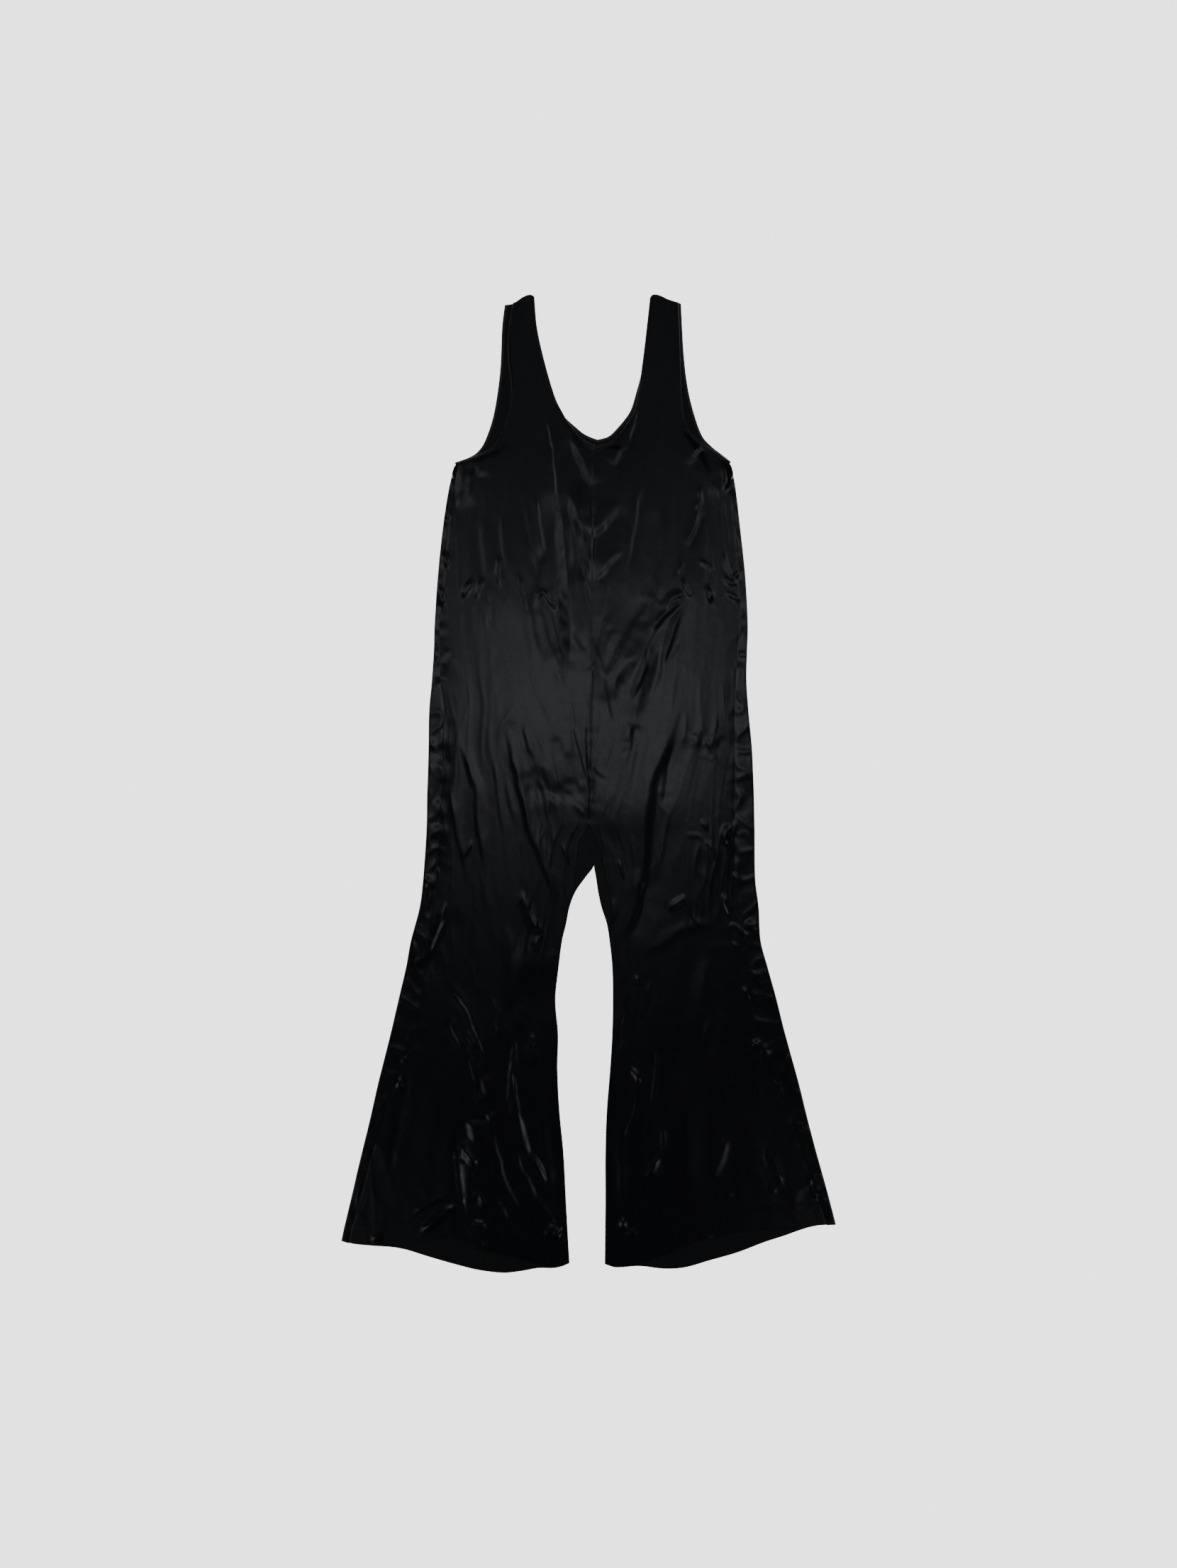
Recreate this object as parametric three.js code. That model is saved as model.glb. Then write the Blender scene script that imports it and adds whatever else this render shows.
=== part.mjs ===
// A sleeveless jumpsuit laid flat on its back, in millimetres.
// +X is to the right, +Y towards the straps and +Z up; left and right are as seen from above.
// The back lies on the ground, turns up round each side and ends on the front at the side seam.
import * as THREE from 'three';

// Driving sizes
const wall = 1.2;
const hemWall = 1.8;
const bindingWall = 1.8;
const backBindingWall = 1.4;
const bindingWidth = 4.5;
const seamGap = 0.3;
const layerGap = 0.5;
const hemDepth = 37;

// How far the front stands off the back, on top of the gap between the layers
const sideLoft = 1.2;
const centreLoft = 0.8;
const inseamLoft = 0.1;
const inseamLoftY = -150;
const centreLoftY = -40;
const crown = 2.4;
const crownWidth = 150;

// A fold is at its full height over its middle part, and fades out over this share of each end
const foldFade = 0.25;
const foldEndLeft = 0.05;

// Rows and columns of each panel's mesh
const strapRows = 14;
const armpitRows = 3;
const armpitStep = 8;
const bodyRows = 21;
const legRows = 25;
const endRows = 4;
const frontColumns = 14;
const floorColumns = 4;
const turnColumns = 4;

// Width of the strip of the back's mesh that lies flat above the armpit and is a flap below it
const flatFlap = 3;

// Heights on the plan where the lines of the panels change
const armpitY = 470;
const frontNeckY = 495;
const backNeckY = 505;
const frontCrotchY = -58;
const backCrotchY = -121;

// The sides below the armholes: outline and side seam of each side, a row per section
const sides = [
  { y: 470, leftEdge: -199, leftSeam: -193, rightSeam: 206, rightEdge: 212 },
  { y: 436, leftEdge: -207, leftSeam: -200, rightSeam: 211, rightEdge: 218 },
  { y: 385, leftEdge: -215, leftSeam: -207, rightSeam: 217, rightEdge: 224 },
  { y: 310, leftEdge: -223, leftSeam: -214, rightSeam: 222, rightEdge: 232 },
  { y: 234, leftEdge: -228, leftSeam: -220, rightSeam: 225, rightEdge: 236 },
  { y: 200, leftEdge: -229, leftSeam: -220, rightSeam: 220, rightEdge: 235 },
  { y: 153, leftEdge: -232, leftSeam: -219, rightSeam: 218, rightEdge: 234 },
  { y: 108, leftEdge: -236, leftSeam: -213, rightSeam: 216, rightEdge: 237 },
  { y: 54, leftEdge: -237, leftSeam: -217, rightSeam: 216, rightEdge: 242 },
  { y: 14, leftEdge: -238, leftSeam: -213, rightSeam: 216, rightEdge: 244 },
  { y: -15, leftEdge: -239, leftSeam: -219, rightSeam: 216, rightEdge: 245 },
  { y: -68, leftEdge: -240, leftSeam: -221, rightSeam: 216, rightEdge: 246 },
  { y: -141, leftEdge: -245, leftSeam: -225, rightSeam: 217, rightEdge: 247 },
  { y: -182, leftEdge: -250, leftSeam: -230, rightSeam: 223, rightEdge: 252 },
  { y: -232, leftEdge: -263, leftSeam: -237, rightSeam: 232, rightEdge: 255 },
  { y: -270, leftEdge: -270, leftSeam: -241, rightSeam: 238, rightEdge: 265 },
  { y: -313, leftEdge: -280, leftSeam: -246, rightSeam: 242, rightEdge: 277 },
  { y: -365, leftEdge: -292, leftSeam: -255, rightSeam: 247, rightEdge: 290 },
  { y: -405, leftEdge: -302, leftSeam: -272, rightSeam: 257, rightEdge: 301 },
  { y: -445, leftEdge: -312, leftSeam: -288, rightSeam: 278, rightEdge: 312 },
  { y: -498, leftEdge: -324, leftSeam: -304, rightSeam: 300, rightEdge: 325 },
  { y: -547, leftEdge: -336, leftSeam: -320, rightSeam: 317, rightEdge: 338 },
  { y: -597, leftEdge: -348, leftSeam: -334, rightSeam: 334, rightEdge: 352 },
  { y: -651, leftEdge: -361, leftSeam: -349, rightSeam: 352, rightEdge: 366 },
  { y: -675, leftEdge: -366, leftSeam: -355, rightSeam: 356, rightEdge: 370 },
];

// The centre front and centre back seams above the crotch
const centre = [
  { y: 505, front: 13, back: 13 },
  { y: 488, front: 8, back: 10 },
  { y: 383, front: 8, back: 8 },
  { y: 332, front: 6, back: 6 },
  { y: 67, front: 4, back: 4 },
  { y: 27, front: 1, back: 3 },
  { y: -7, front: 4, back: 2 },
  { y: -58, front: 1, back: 1 },
  { y: -93, front: 1, back: 4 },
  { y: -121, front: 1, back: 8 },
];

// The inner edges of the legs below the crotch
const inseams = [
  { y: -58, leftFront: 1, leftBack: 8, rightBack: 8, rightFront: 1 },
  { y: -85, leftFront: -14, leftBack: 8, rightBack: 8, rightFront: 13 },
  { y: -102, leftFront: -17, leftBack: 8, rightBack: 8, rightFront: 19 },
  { y: -121, leftFront: -19, leftBack: 8, rightBack: 8, rightFront: 23 },
  { y: -139, leftFront: -21, leftBack: -5, rightBack: 11, rightFront: 27 },
  { y: -159, leftFront: -23, leftBack: -19, rightBack: 14, rightFront: 32 },
  { y: -182, leftFront: -29, leftBack: -28, rightBack: 19, rightFront: 35 },
  { y: -207, leftFront: -34, leftBack: -33, rightBack: 27, rightFront: 33 },
  { y: -232, leftFront: -40, leftBack: -39, rightBack: 31, rightFront: 32 },
  { y: -270, leftFront: -45, leftBack: -44, rightBack: 35, rightFront: 36 },
  { y: -320, leftFront: -50, leftBack: -49, rightBack: 36, rightFront: 37 },
  { y: -371, leftFront: -46, leftBack: -45, rightBack: 35, rightFront: 36 },
  { y: -421, leftFront: -47, leftBack: -46, rightBack: 32, rightFront: 33 },
  { y: -484, leftFront: -44, leftBack: -43, rightBack: 27, rightFront: 28 },
  { y: -547, leftFront: -38, leftBack: -37, rightBack: 25, rightFront: 26 },
  { y: -623, leftFront: -34, leftBack: -33, rightBack: 25, rightFront: 26 },
  { y: -711, leftFront: -29, leftBack: -28, rightBack: 24, rightFront: 25 },
];

// The bottom edges of the two legs: the back hem hangs lower than the front in mid-leg
const leftHem = [
  { x: -366, front: -675, back: -676 },
  { x: -349, front: -680, back: -681 },
  { x: -319, front: -683, back: -684 },
  { x: -290, front: -684, back: -686 },
  { x: -269, front: -681, back: -690 },
  { x: -237, front: -674, back: -700 },
  { x: -195, front: -672, back: -712 },
  { x: -162, front: -688, back: -720 },
  { x: -126, front: -696, back: -724 },
  { x: -97, front: -704, back: -721 },
  { x: -75, front: -710, back: -717 },
  { x: -52, front: -714, back: -717 },
  { x: -38, front: -713, back: -714 },
  { x: -27, front: -708, back: -709 },
];
const rightHem = [
  { x: 24, front: -710, back: -711 },
  { x: 40, front: -715, back: -716 },
  { x: 75, front: -710, back: -714 },
  { x: 113, front: -697, back: -718 },
  { x: 143, front: -684, back: -716 },
  { x: 178, front: -672, back: -706 },
  { x: 220, front: -663, back: -694 },
  { x: 262, front: -658, back: -678 },
  { x: 290, front: -657, back: -669 },
  { x: 318, front: -654, back: -659 },
  { x: 339, front: -653, back: -654 },
  { x: 370, front: -651, back: -652 },
];

// The shoulder ends of the straps
const leftShoulder = [
  { x: -124, y: 709 },
  { x: -110, y: 712 },
  { x: -96, y: 721 },
  { x: -86, y: 724 },
  { x: -80, y: 721 },
];
const rightShoulder = [
  { x: 90, y: 719 },
  { x: 95, y: 724 },
  { x: 105, y: 723 },
  { x: 118, y: 717 },
  { x: 137, y: 711 },
];

// Neck and armhole edges, each from the shoulder down
const edges = {
  leftNeckFront: [
    [-80, 721], [-76, 675], [-65, 625], [-50, 574], [-38, 549], [-27, 531], [-9, 511], [13, 500],
  ],
  leftNeckBack: [
    [-82, 721], [-78, 675], [-67, 625], [-52, 574], [-40, 549], [-15, 525], [-2, 516], [13, 510],
  ],
  rightNeckFront: [
    [91, 720], [86, 675], [80, 625], [73, 576], [66, 549], [46, 519], [31, 505], [13, 500],
  ],
  rightNeckBack: [
    [93, 721], [88, 675], [80, 618], [69, 574], [60, 549], [40, 524], [28, 514], [13, 510],
  ],
  leftArmholeFront: [
    [-112, 711], [-119, 667], [-119, 626], [-115, 580], [-124, 533], [-140, 501], [-161, 488], [-192, 477],
  ],
  leftArmholeBack: [
    [-124, 709], [-128, 675], [-131, 610], [-140, 549], [-152, 511], [-163, 493], [-176, 484], [-198, 476],
  ],
  rightArmholeFront: [
    [133, 712], [135, 663], [137, 600], [141, 548], [151, 522], [172, 502], [190, 491], [205, 480],
  ],
  rightArmholeBack: [
    [137, 711], [141, 637], [147, 587], [156, 549], [168, 516], [183, 499], [196, 489], [211, 477],
  ],
};

// The largest folds of the front: height is above or, if negative, below the cloth round it
const folds = [
  { line: [[-66, 578], [-48, 440], [-35, 356], [-40, 269]], width: 17, height: 4 },
  { line: [[-22, 500], [-30, 400], [-20, 313]], width: 17, height: -2 },
  { line: [[-28, 512], [-14, 476], [3, 444]], width: 16, height: 3 },
  { line: [[-8, 392], [6, 373], [28, 378], [47, 416]], width: 16, height: 3 },
  { line: [[66, 533], [53, 497], [39, 460]], width: 16, height: 3 },
  { line: [[63, 479], [50, 390], [32, 334]], width: 18, height: -2 },
  { line: [[102, 490], [99, 426], [108, 348], [95, 269]], width: 22, height: -2 },
  { line: [[-168, 482], [-187, 400]], width: 20, height: 4 },
  { line: [[-142, 490], [-168, 419], [-184, 383]], width: 16, height: -2 },
  { line: [[165, 500], [200, 418]], width: 20, height: 4 },
  { line: [[-134, 325], [-131, 256]], width: 17, height: 3 },
  { line: [[-106, 314], [-96, 246]], width: 17, height: 3 },
  { line: [[-56, 283], [-56, 220]], width: 17, height: -2 },
  { line: [[144, 334], [137, 312], [150, 272]], width: 17, height: 3 },
  { line: [[168, 326], [196, 272]], width: 20, height: 3 },
  { line: [[176, 274], [212, 238]], width: 17, height: -2 },
  { line: [[150, 258], [114, 194]], width: 20, height: 3 },
  { line: [[-191, 66], [-168, -12], [-158, -68]], width: 17, height: -2 },
  { line: [[-137, 88], [-124, 0], [-104, -64]], width: 18, height: -2 },
  { line: [[-98, -6], [-40, -16]], width: 17, height: -2 },
  { line: [[126, 88], [100, -22], [82, -99], [87, -156], [72, -212]], width: 24, height: -3 },
  { line: [[146, 80], [126, -20], [108, -88]], width: 18, height: 3 },
  { line: [[160, 30], [197, 80]], width: 18, height: 3 },
  { line: [[112, -82], [190, -76]], width: 16, height: -2 },
  { line: [[-88, -20], [-70, -80], [-54, -126], [-48, -186]], width: 19, height: 4 },
  { line: [[44, -20], [34, -70]], width: 17, height: 3 },
  { line: [[-168, -82], [-188, -115]], width: 16, height: 3 },
  { line: [[-97, -156], [-78, -217]], width: 17, height: 3 },
  { line: [[-226, -210], [-243, -252]], width: 17, height: 3 },
  { line: [[-209, -204], [-235, -255], [-262, -300]], width: 17, height: -2 },
  { line: [[114, -78], [100, -135]], width: 16, height: 3 },
  { line: [[166, -206], [125, -222], [104, -236]], width: 17, height: 3 },
  { line: [[202, -210], [226, -212], [248, -226]], width: 17, height: 3 },
  { line: [[-262, -350], [-244, -382]], width: 18, height: 3 },
  { line: [[-211, -344], [-156, -408]], width: 19, height: 4 },
  { line: [[-171, -436], [-147, -512], [-180, -600]], width: 17, height: 3 },
  { line: [[-113, -430], [-93, -533], [-76, -564]], width: 20, height: 4 },
  { line: [[-76, -548], [-60, -586], [-46, -652]], width: 16, height: 3 },
  { line: [[-138, -526], [-118, -588]], width: 16, height: 3 },
  { line: [[-252, -666], [-220, -640], [-192, -627]], width: 17, height: 4 },
  { line: [[-178, -662], [-142, -690]], width: 18, height: 3 },
  { line: [[62, -404], [72, -446]], width: 20, height: 3 },
  { line: [[104, -544], [82, -586]], width: 20, height: 3 },
  { line: [[48, -632], [60, -662]], width: 16, height: 3 },
  { line: [[193, -594], [212, -616]], width: 17, height: 3 },
  { line: [[264, -534], [282, -566]], width: 17, height: 3 },
  { line: [[150, -300], [142, -430], [150, -560]], width: 30, height: 2 },
  { line: [[-225, -430], [-248, -600]], width: 30, height: 2 },
];

const satin = new THREE.MeshStandardMaterial({ color: 0x101216, roughness: 0.34, metalness: 0 });
const satinBinding = new THREE.MeshStandardMaterial({ color: 0x14161a, roughness: 0.4, metalness: 0 });

// One column of a table as a smooth curve through its rows, read at a value of its first column
function tableAt(table, across, column, value) {
  const rising = table[0][across] < table[table.length - 1][across];
  let low = 0;
  while (low < table.length - 2 && (table[low + 1][across] < value) === rising) low += 1;
  const slope = (i) => {
    const before = table[Math.max(i - 1, 0)];
    const after = table[Math.min(i + 1, table.length - 1)];
    return (after[column] - before[column]) / (after[across] - before[across]);
  };
  const start = table[low];
  const end = table[low + 1];
  const span = end[across] - start[across];
  const t = THREE.MathUtils.clamp((value - start[across]) / span, 0, 1);
  const hermiteStart = (1 + 2 * t) * (1 - t) ** 2 * start[column] + t * (1 - t) ** 2 * span * slope(low);
  const hermiteEnd = t * t * (3 - 2 * t) * end[column] + t * t * (t - 1) * span * slope(low + 1);
  return hermiteStart + hermiteEnd;
}

// Height that the folds add at a point of the plan, each one fading out at its ends
function foldHeight(x, y) {
  let height = 0;
  for (const { line, width, height: rise } of folds) {
    const lengths = [];
    let total = 0;
    for (let i = 1; i < line.length; i += 1) {
      lengths.push(Math.hypot(line[i][0] - line[i - 1][0], line[i][1] - line[i - 1][1]));
      total += lengths[i - 1];
    }
    let nearest = Infinity;
    let along = 0;
    let passed = 0;
    for (let i = 1; i < line.length; i += 1) {
      const [startX, startY] = line[i - 1];
      const runX = line[i][0] - startX;
      const runY = line[i][1] - startY;
      const length = lengths[i - 1];
      const t = THREE.MathUtils.clamp(((x - startX) * runX + (y - startY) * runY) / length ** 2, 0, 1);
      const distance = Math.hypot(x - startX - t * runX, y - startY - t * runY);
      if (distance < nearest) {
        nearest = distance;
        along = (passed + t * length) / total;
      }
      passed += length;
    }
    if (nearest >= width) continue;
    const bell = (1 - (nearest / width) ** 2) ** 2;
    const ends = THREE.MathUtils.smoothstep(Math.min(along, 1 - along), -foldEndLeft, foldFade);
    height += rise * bell * ends;
  }
  return height;
}

// How far the front stands off the layer gap: u runs from its inner edge to its outer edge
function frontLift(x, y, u, panelWidth) {
  const aboveCrotch = THREE.MathUtils.smoothstep(y, inseamLoftY, centreLoftY);
  const innerLoft = THREE.MathUtils.lerp(inseamLoft, centreLoft, aboveCrotch);
  const loft = THREE.MathUtils.lerp(innerLoft, sideLoft, u);
  const roundness = crown * Math.sin(Math.PI * u) * Math.min(1, panelWidth / crownWidth);
  return Math.max(0, loft + roundness + foldHeight(x, y));
}

// Points along an edge of the neck or armhole, and the same edge moved into the cloth
function edgePoints(name) {
  const points = edges[name].map(([x, y]) => new THREE.Vector2(x, y));
  return new THREE.SplineCurve(points).getSpacedPoints(strapRows);
}

function movedIn(points, distance, side) {
  return points.map((point, i) => {
    const before = points[Math.max(i - 1, 0)];
    const after = points[Math.min(i + 1, points.length - 1)];
    const along = after.clone().sub(before).normalize();
    return new THREE.Vector2(point.x - along.y * distance * side, point.y + along.x * distance * side);
  });
}

// Heights on the plan of the rows below the armhole, for an edge that starts and forks where told
function rowHeights(startY, crotchY, endY) {
  const heights = [];
  for (let i = 1; i <= armpitRows; i += 1) heights.push(startY - armpitStep * i);
  const bodyStart = startY - armpitStep * armpitRows;
  for (let i = 1; i <= bodyRows; i += 1) {
    heights.push(THREE.MathUtils.lerp(bodyStart, crotchY, i / bodyRows));
  }
  for (let i = 1; i <= legRows; i += 1) {
    heights.push(THREE.MathUtils.lerp(crotchY, endY, i / legRows));
  }
  return heights;
}

// A closed solid from a grid of points on its two faces: grid[row][column] = { top, under }
function gridSolid(name, grid, material) {
  const rows = grid.length;
  const columns = grid[0].length;
  const positions = [];
  for (const row of grid) {
    for (const { top, under } of row) positions.push(top.x, top.y, top.z, under.x, under.y, under.z);
  }
  const top = (row, column) => 2 * (row * columns + column);
  const under = (row, column) => top(row, column) + 1;
  const index = [];
  const quad = (a, b, c, d) => index.push(a, b, c, a, c, d);
  for (let i = 0; i < rows - 1; i += 1) {
    for (let j = 0; j < columns - 1; j += 1) {
      quad(top(i, j), top(i + 1, j), top(i + 1, j + 1), top(i, j + 1));
      quad(under(i, j), under(i, j + 1), under(i + 1, j + 1), under(i + 1, j));
    }
    quad(top(i, 0), under(i, 0), under(i + 1, 0), top(i + 1, 0));
    quad(top(i + 1, columns - 1), under(i + 1, columns - 1), under(i, columns - 1), top(i, columns - 1));
  }
  for (let j = 0; j < columns - 1; j += 1) {
    quad(top(0, j + 1), under(0, j + 1), under(0, j), top(0, j));
    quad(top(rows - 1, j), under(rows - 1, j), under(rows - 1, j + 1), top(rows - 1, j + 1));
  }
  if (signedVolume(positions, index) < 0) index.reverse();
  const geometry = new THREE.BufferGeometry();
  geometry.setAttribute('position', new THREE.Float32BufferAttribute(positions, 3));
  geometry.setIndex(index);
  geometry.computeVertexNormals();
  const mesh = new THREE.Mesh(geometry, material);
  mesh.name = name;
  return mesh;
}

function signedVolume(positions, index) {
  const corner = (i) => new THREE.Vector3().fromArray(positions, 3 * index[i]);
  let volume = 0;
  for (let i = 0; i < index.length; i += 3) volume += corner(i).dot(corner(i + 1).cross(corner(i + 2)));
  return volume;
}

// Moves the rows near the shoulder and the hem on to their curved ends
function endShift(row, rowCount, x, u, edge, shoulder, hem) {
  const last = rowCount - 1;
  const shoulderShare = Math.max(0, 1 - row / endRows);
  const hemShare = Math.max(0, 1 - (last - row) / endRows);
  const straight = (i) => THREE.MathUtils.lerp(edge.inner[i].y, edge.outer[i].y, u);
  return shoulderShare * (shoulder(x) - straight(0)) + hemShare * (hem(x) - straight(last));
}

// What differs between the two sides: direction of its outer edge, and its lines
const sideParts = {
  left: {
    out: -1,
    shoulder: (x) => tableAt(leftShoulder, 'x', 'y', x),
    hem: (layer) => (x) => tableAt(leftHem, 'x', layer, x),
    hemEnds: { inner: -709, outer: -675 },
  },
  right: {
    out: 1,
    shoulder: (x) => tableAt(rightShoulder, 'x', 'y', x),
    hem: (layer) => (x) => tableAt(rightHem, 'x', layer, x),
    hemEnds: { inner: -711, outer: -652 },
  },
};

// Inner and outer edge of a panel on the plan, a point a row, with room left for the bindings
function panelEdge(side, layer) {
  const { out, hemEnds } = sideParts[side];
  const inset = bindingWidth + seamGap;
  const neck = movedIn(edgePoints(`${side}Neck${layer}`), inset, out);
  const armhole = movedIn(edgePoints(`${side}Armhole${layer}`), inset, -out);
  const isFront = layer === 'Front';
  const neckY = isFront ? frontNeckY : backNeckY;
  const crotchY = isFront ? frontCrotchY : backCrotchY;
  const line = isFront ? 'front' : 'back';
  const outline = isFront ? `${side}Seam` : `${side}Edge`;
  const innerX = (y) => (y >= crotchY
    ? tableAt(centre, 'y', line, y)
    : tableAt(inseams, 'y', `${side}${layer}`, y));
  const outerX = (y) => tableAt(sides, 'y', outline, y);
  const halfSeam = (out * seamGap) / 2;
  const inner = neck.slice(0, strapRows);
  const outer = armhole.slice(0, strapRows);
  inner.push(new THREE.Vector2(innerX(neckY) + halfSeam, neckY));
  outer.push(new THREE.Vector2(outerX(armpitY), armpitY));
  for (const y of rowHeights(neckY, crotchY, hemEnds.inner)) {
    inner.push(new THREE.Vector2(innerX(y) + halfSeam, y));
  }
  for (const y of rowHeights(armpitY, frontCrotchY, hemEnds.outer)) {
    outer.push(new THREE.Vector2(outerX(y), y));
  }
  return { inner, outer };
}

function frontPanel(side) {
  const { shoulder, hem } = sideParts[side];
  const edge = panelEdge(side, 'Front');
  const rowCount = edge.inner.length;
  const hemLine = hem('front');
  const grid = edge.inner.map((inner, i) => {
    const row = [];
    for (let j = 0; j <= frontColumns; j += 1) {
      const u = j / frontColumns;
      const plan = inner.clone().lerp(edge.outer[i], u);
      plan.y += endShift(i, rowCount, plan.x, u, edge, shoulder, hemLine);
      const lift = frontLift(plan.x, plan.y, u, inner.distanceTo(edge.outer[i]));
      const inHem = plan.y < hemLine(plan.x) + hemDepth;
      const under = wall + layerGap + lift;
      row.push({
        under: new THREE.Vector3(plan.x, plan.y, under),
        top: new THREE.Vector3(plan.x, plan.y, under + (inHem ? hemWall : wall)),
      });
    }
    return row;
  });
  return gridSolid(`front_${side}`, grid, satin);
}

// The turned side of the back at one row: its points go out, round by an angle and back in a flap
function turnedSide(angle, turnRadius, flap) {
  const arcLength = Math.PI * turnRadius;
  const points = [];
  let reach = -Infinity;
  for (let k = 0; k <= turnColumns + 1; k += 1) {
    const share = Math.min(k / turnColumns, 1);
    const turned = angle * share;
    const radius = angle > 0 ? arcLength / angle : 0;
    const onFlap = k > turnColumns ? flap : 0;
    const out = angle > 0 ? radius * Math.sin(turned) : arcLength * share;
    const up = angle > 0 ? radius * (1 - Math.cos(turned)) : 0;
    const middle = {
      out: out + onFlap * Math.cos(turned),
      up: wall / 2 + up + onFlap * Math.sin(turned),
    };
    const normal = { out: (Math.sin(turned) * wall) / 2, up: (Math.cos(turned) * wall) / 2 };
    const outside = { out: middle.out + normal.out, up: middle.up - normal.up };
    const inside = { out: middle.out - normal.out, up: middle.up + normal.up };
    reach = Math.max(reach, outside.out, inside.out);
    points.push({ outside, inside });
  }
  return { points, reach };
}

function backPanel(side) {
  const { out, shoulder, hem } = sideParts[side];
  const edge = panelEdge(side, 'Back');
  const seam = panelEdge(side, 'Front').outer;
  const rowCount = edge.inner.length;
  const hemLine = hem('back');
  const grid = edge.inner.map((inner, i) => {
    const outer = edge.outer[i];
    const turnShare = THREE.MathUtils.clamp((i - strapRows) / armpitRows, 0, 1);
    const lift = frontLift(seam[i].x, seam[i].y, 1, Math.abs(seam[i].x));
    const outerRadius = (2 * wall + layerGap + lift) / 2;
    const seamInset = Math.abs(outer.x - seam[i].x) - outerRadius - seamGap;
    const flap = turnShare > 0 ? seamInset : flatFlap;
    const { points, reach } = turnedSide(Math.PI * turnShare, outerRadius - wall / 2, flap);
    const row = [];
    for (let j = 0; j < floorColumns; j += 1) {
      const u = j / floorColumns;
      const start = new THREE.Vector2(outer.x - out * reach, outer.y);
      const plan = inner.clone().lerp(start, u);
      plan.y += endShift(i, rowCount, plan.x, u, edge, shoulder, hemLine);
      row.push({
        under: new THREE.Vector3(plan.x, plan.y, 0),
        top: new THREE.Vector3(plan.x, plan.y, wall),
      });
    }
    for (const { outside, inside } of points) {
      const place = (point) => {
        const x = outer.x + out * (point.out - reach);
        const shift = endShift(i, rowCount, x, 1, edge, shoulder, hemLine);
        return new THREE.Vector3(x, outer.y + shift, point.up);
      };
      row.push({ under: place(outside), top: place(inside) });
    }
    return row;
  });
  return gridSolid(`back_${side}`, grid, satin);
}

// The two edges of a strip of binding on one side, from the shoulder down to where the edge ends
function bindingEdges(side, opening, layer) {
  const { out, shoulder } = sideParts[side];
  const outside = edgePoints(`${side}${opening}${layer}`);
  const inside = movedIn(outside, bindingWidth, opening === 'Neck' ? out : -out);
  for (const line of [outside, inside]) {
    const rise = shoulder(line[0].x) - line[0].y;
    for (let i = 0; i < endRows; i += 1) line[i].y += rise * (1 - i / endRows);
  }
  return { outside, inside };
}

function bindingSolid(name, { outside, inside }, opening, layer) {
  const u = opening === 'Neck' ? 0 : 1;
  const grid = outside.map((edgePoint, i) => [edgePoint, inside[i]].map(({ x, y }) => {
    const front = wall + seamGap + frontLift(x, y, u, 0);
    const under = layer === 'Front' ? front : 0;
    const thickness = layer === 'Front' ? bindingWall : backBindingWall;
    return { under: new THREE.Vector3(x, y, under), top: new THREE.Vector3(x, y, under + thickness) };
  }));
  return gridSolid(name, grid, satinBinding);
}

// The neck binding runs from one shoulder round the scoop to the other
function neckBinding(layer) {
  const left = bindingEdges('left', 'Neck', layer);
  const right = bindingEdges('right', 'Neck', layer);
  const wholeEdge = (edge) => left[edge].concat(right[edge].slice(0, -1).reverse());
  const joined = { outside: wholeEdge('outside'), inside: wholeEdge('inside') };
  return bindingSolid(`neck_binding_${layer.toLowerCase()}`, joined, 'Neck', layer);
}

function armholeBinding(side, layer) {
  const name = `armhole_binding_${side}_${layer.toLowerCase()}`;
  return bindingSolid(name, bindingEdges(side, 'Armhole', layer), 'Armhole', layer);
}

const jumpsuit = new THREE.Group();
for (const side of ['left', 'right']) {
  jumpsuit.add(backPanel(side), frontPanel(side));
  jumpsuit.add(armholeBinding(side, 'Back'), armholeBinding(side, 'Front'));
}
jumpsuit.add(neckBinding('Back'), neckBinding('Front'));

export default jumpsuit;
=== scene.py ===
"""The looks of a black satin jumpsuit that lies flat on its back: cloth, bindings, stitches and studio.

Plan sizes are in millimetres, with +X to the right, +Y towards the straps and +Z up. Left and right
are as seen from above. Meshes are made in metres.
"""

import math

import bpy
import numpy as np
from bpy.props import FloatProperty, FloatVectorProperty, IntProperty, PointerProperty
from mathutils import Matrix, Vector


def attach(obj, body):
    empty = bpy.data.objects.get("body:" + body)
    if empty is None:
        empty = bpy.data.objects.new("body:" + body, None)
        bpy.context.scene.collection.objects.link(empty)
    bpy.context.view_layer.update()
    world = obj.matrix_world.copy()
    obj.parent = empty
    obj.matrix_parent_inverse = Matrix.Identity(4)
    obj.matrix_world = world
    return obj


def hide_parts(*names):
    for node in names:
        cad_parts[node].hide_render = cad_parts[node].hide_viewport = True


bl_info = {
    "name": "Satin jumpsuit laid flat",
    "version": (1, 0, 0),
    "blender": (4, 5, 0),
    "location": "View3D > Sidebar > Jumpsuit",
    "description": "Makes the cloth, bindings and stitches of a laid jumpsuit, and its studio",
    "category": "Object",
}

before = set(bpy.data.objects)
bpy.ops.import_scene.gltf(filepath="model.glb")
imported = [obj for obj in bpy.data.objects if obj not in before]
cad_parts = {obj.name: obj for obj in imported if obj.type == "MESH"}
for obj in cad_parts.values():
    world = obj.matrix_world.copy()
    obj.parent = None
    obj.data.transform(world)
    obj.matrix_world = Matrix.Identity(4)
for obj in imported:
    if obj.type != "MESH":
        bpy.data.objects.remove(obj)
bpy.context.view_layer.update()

MM = 0.001
BODY = "root"
OUT = {"left": -1, "right": 1}

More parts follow.
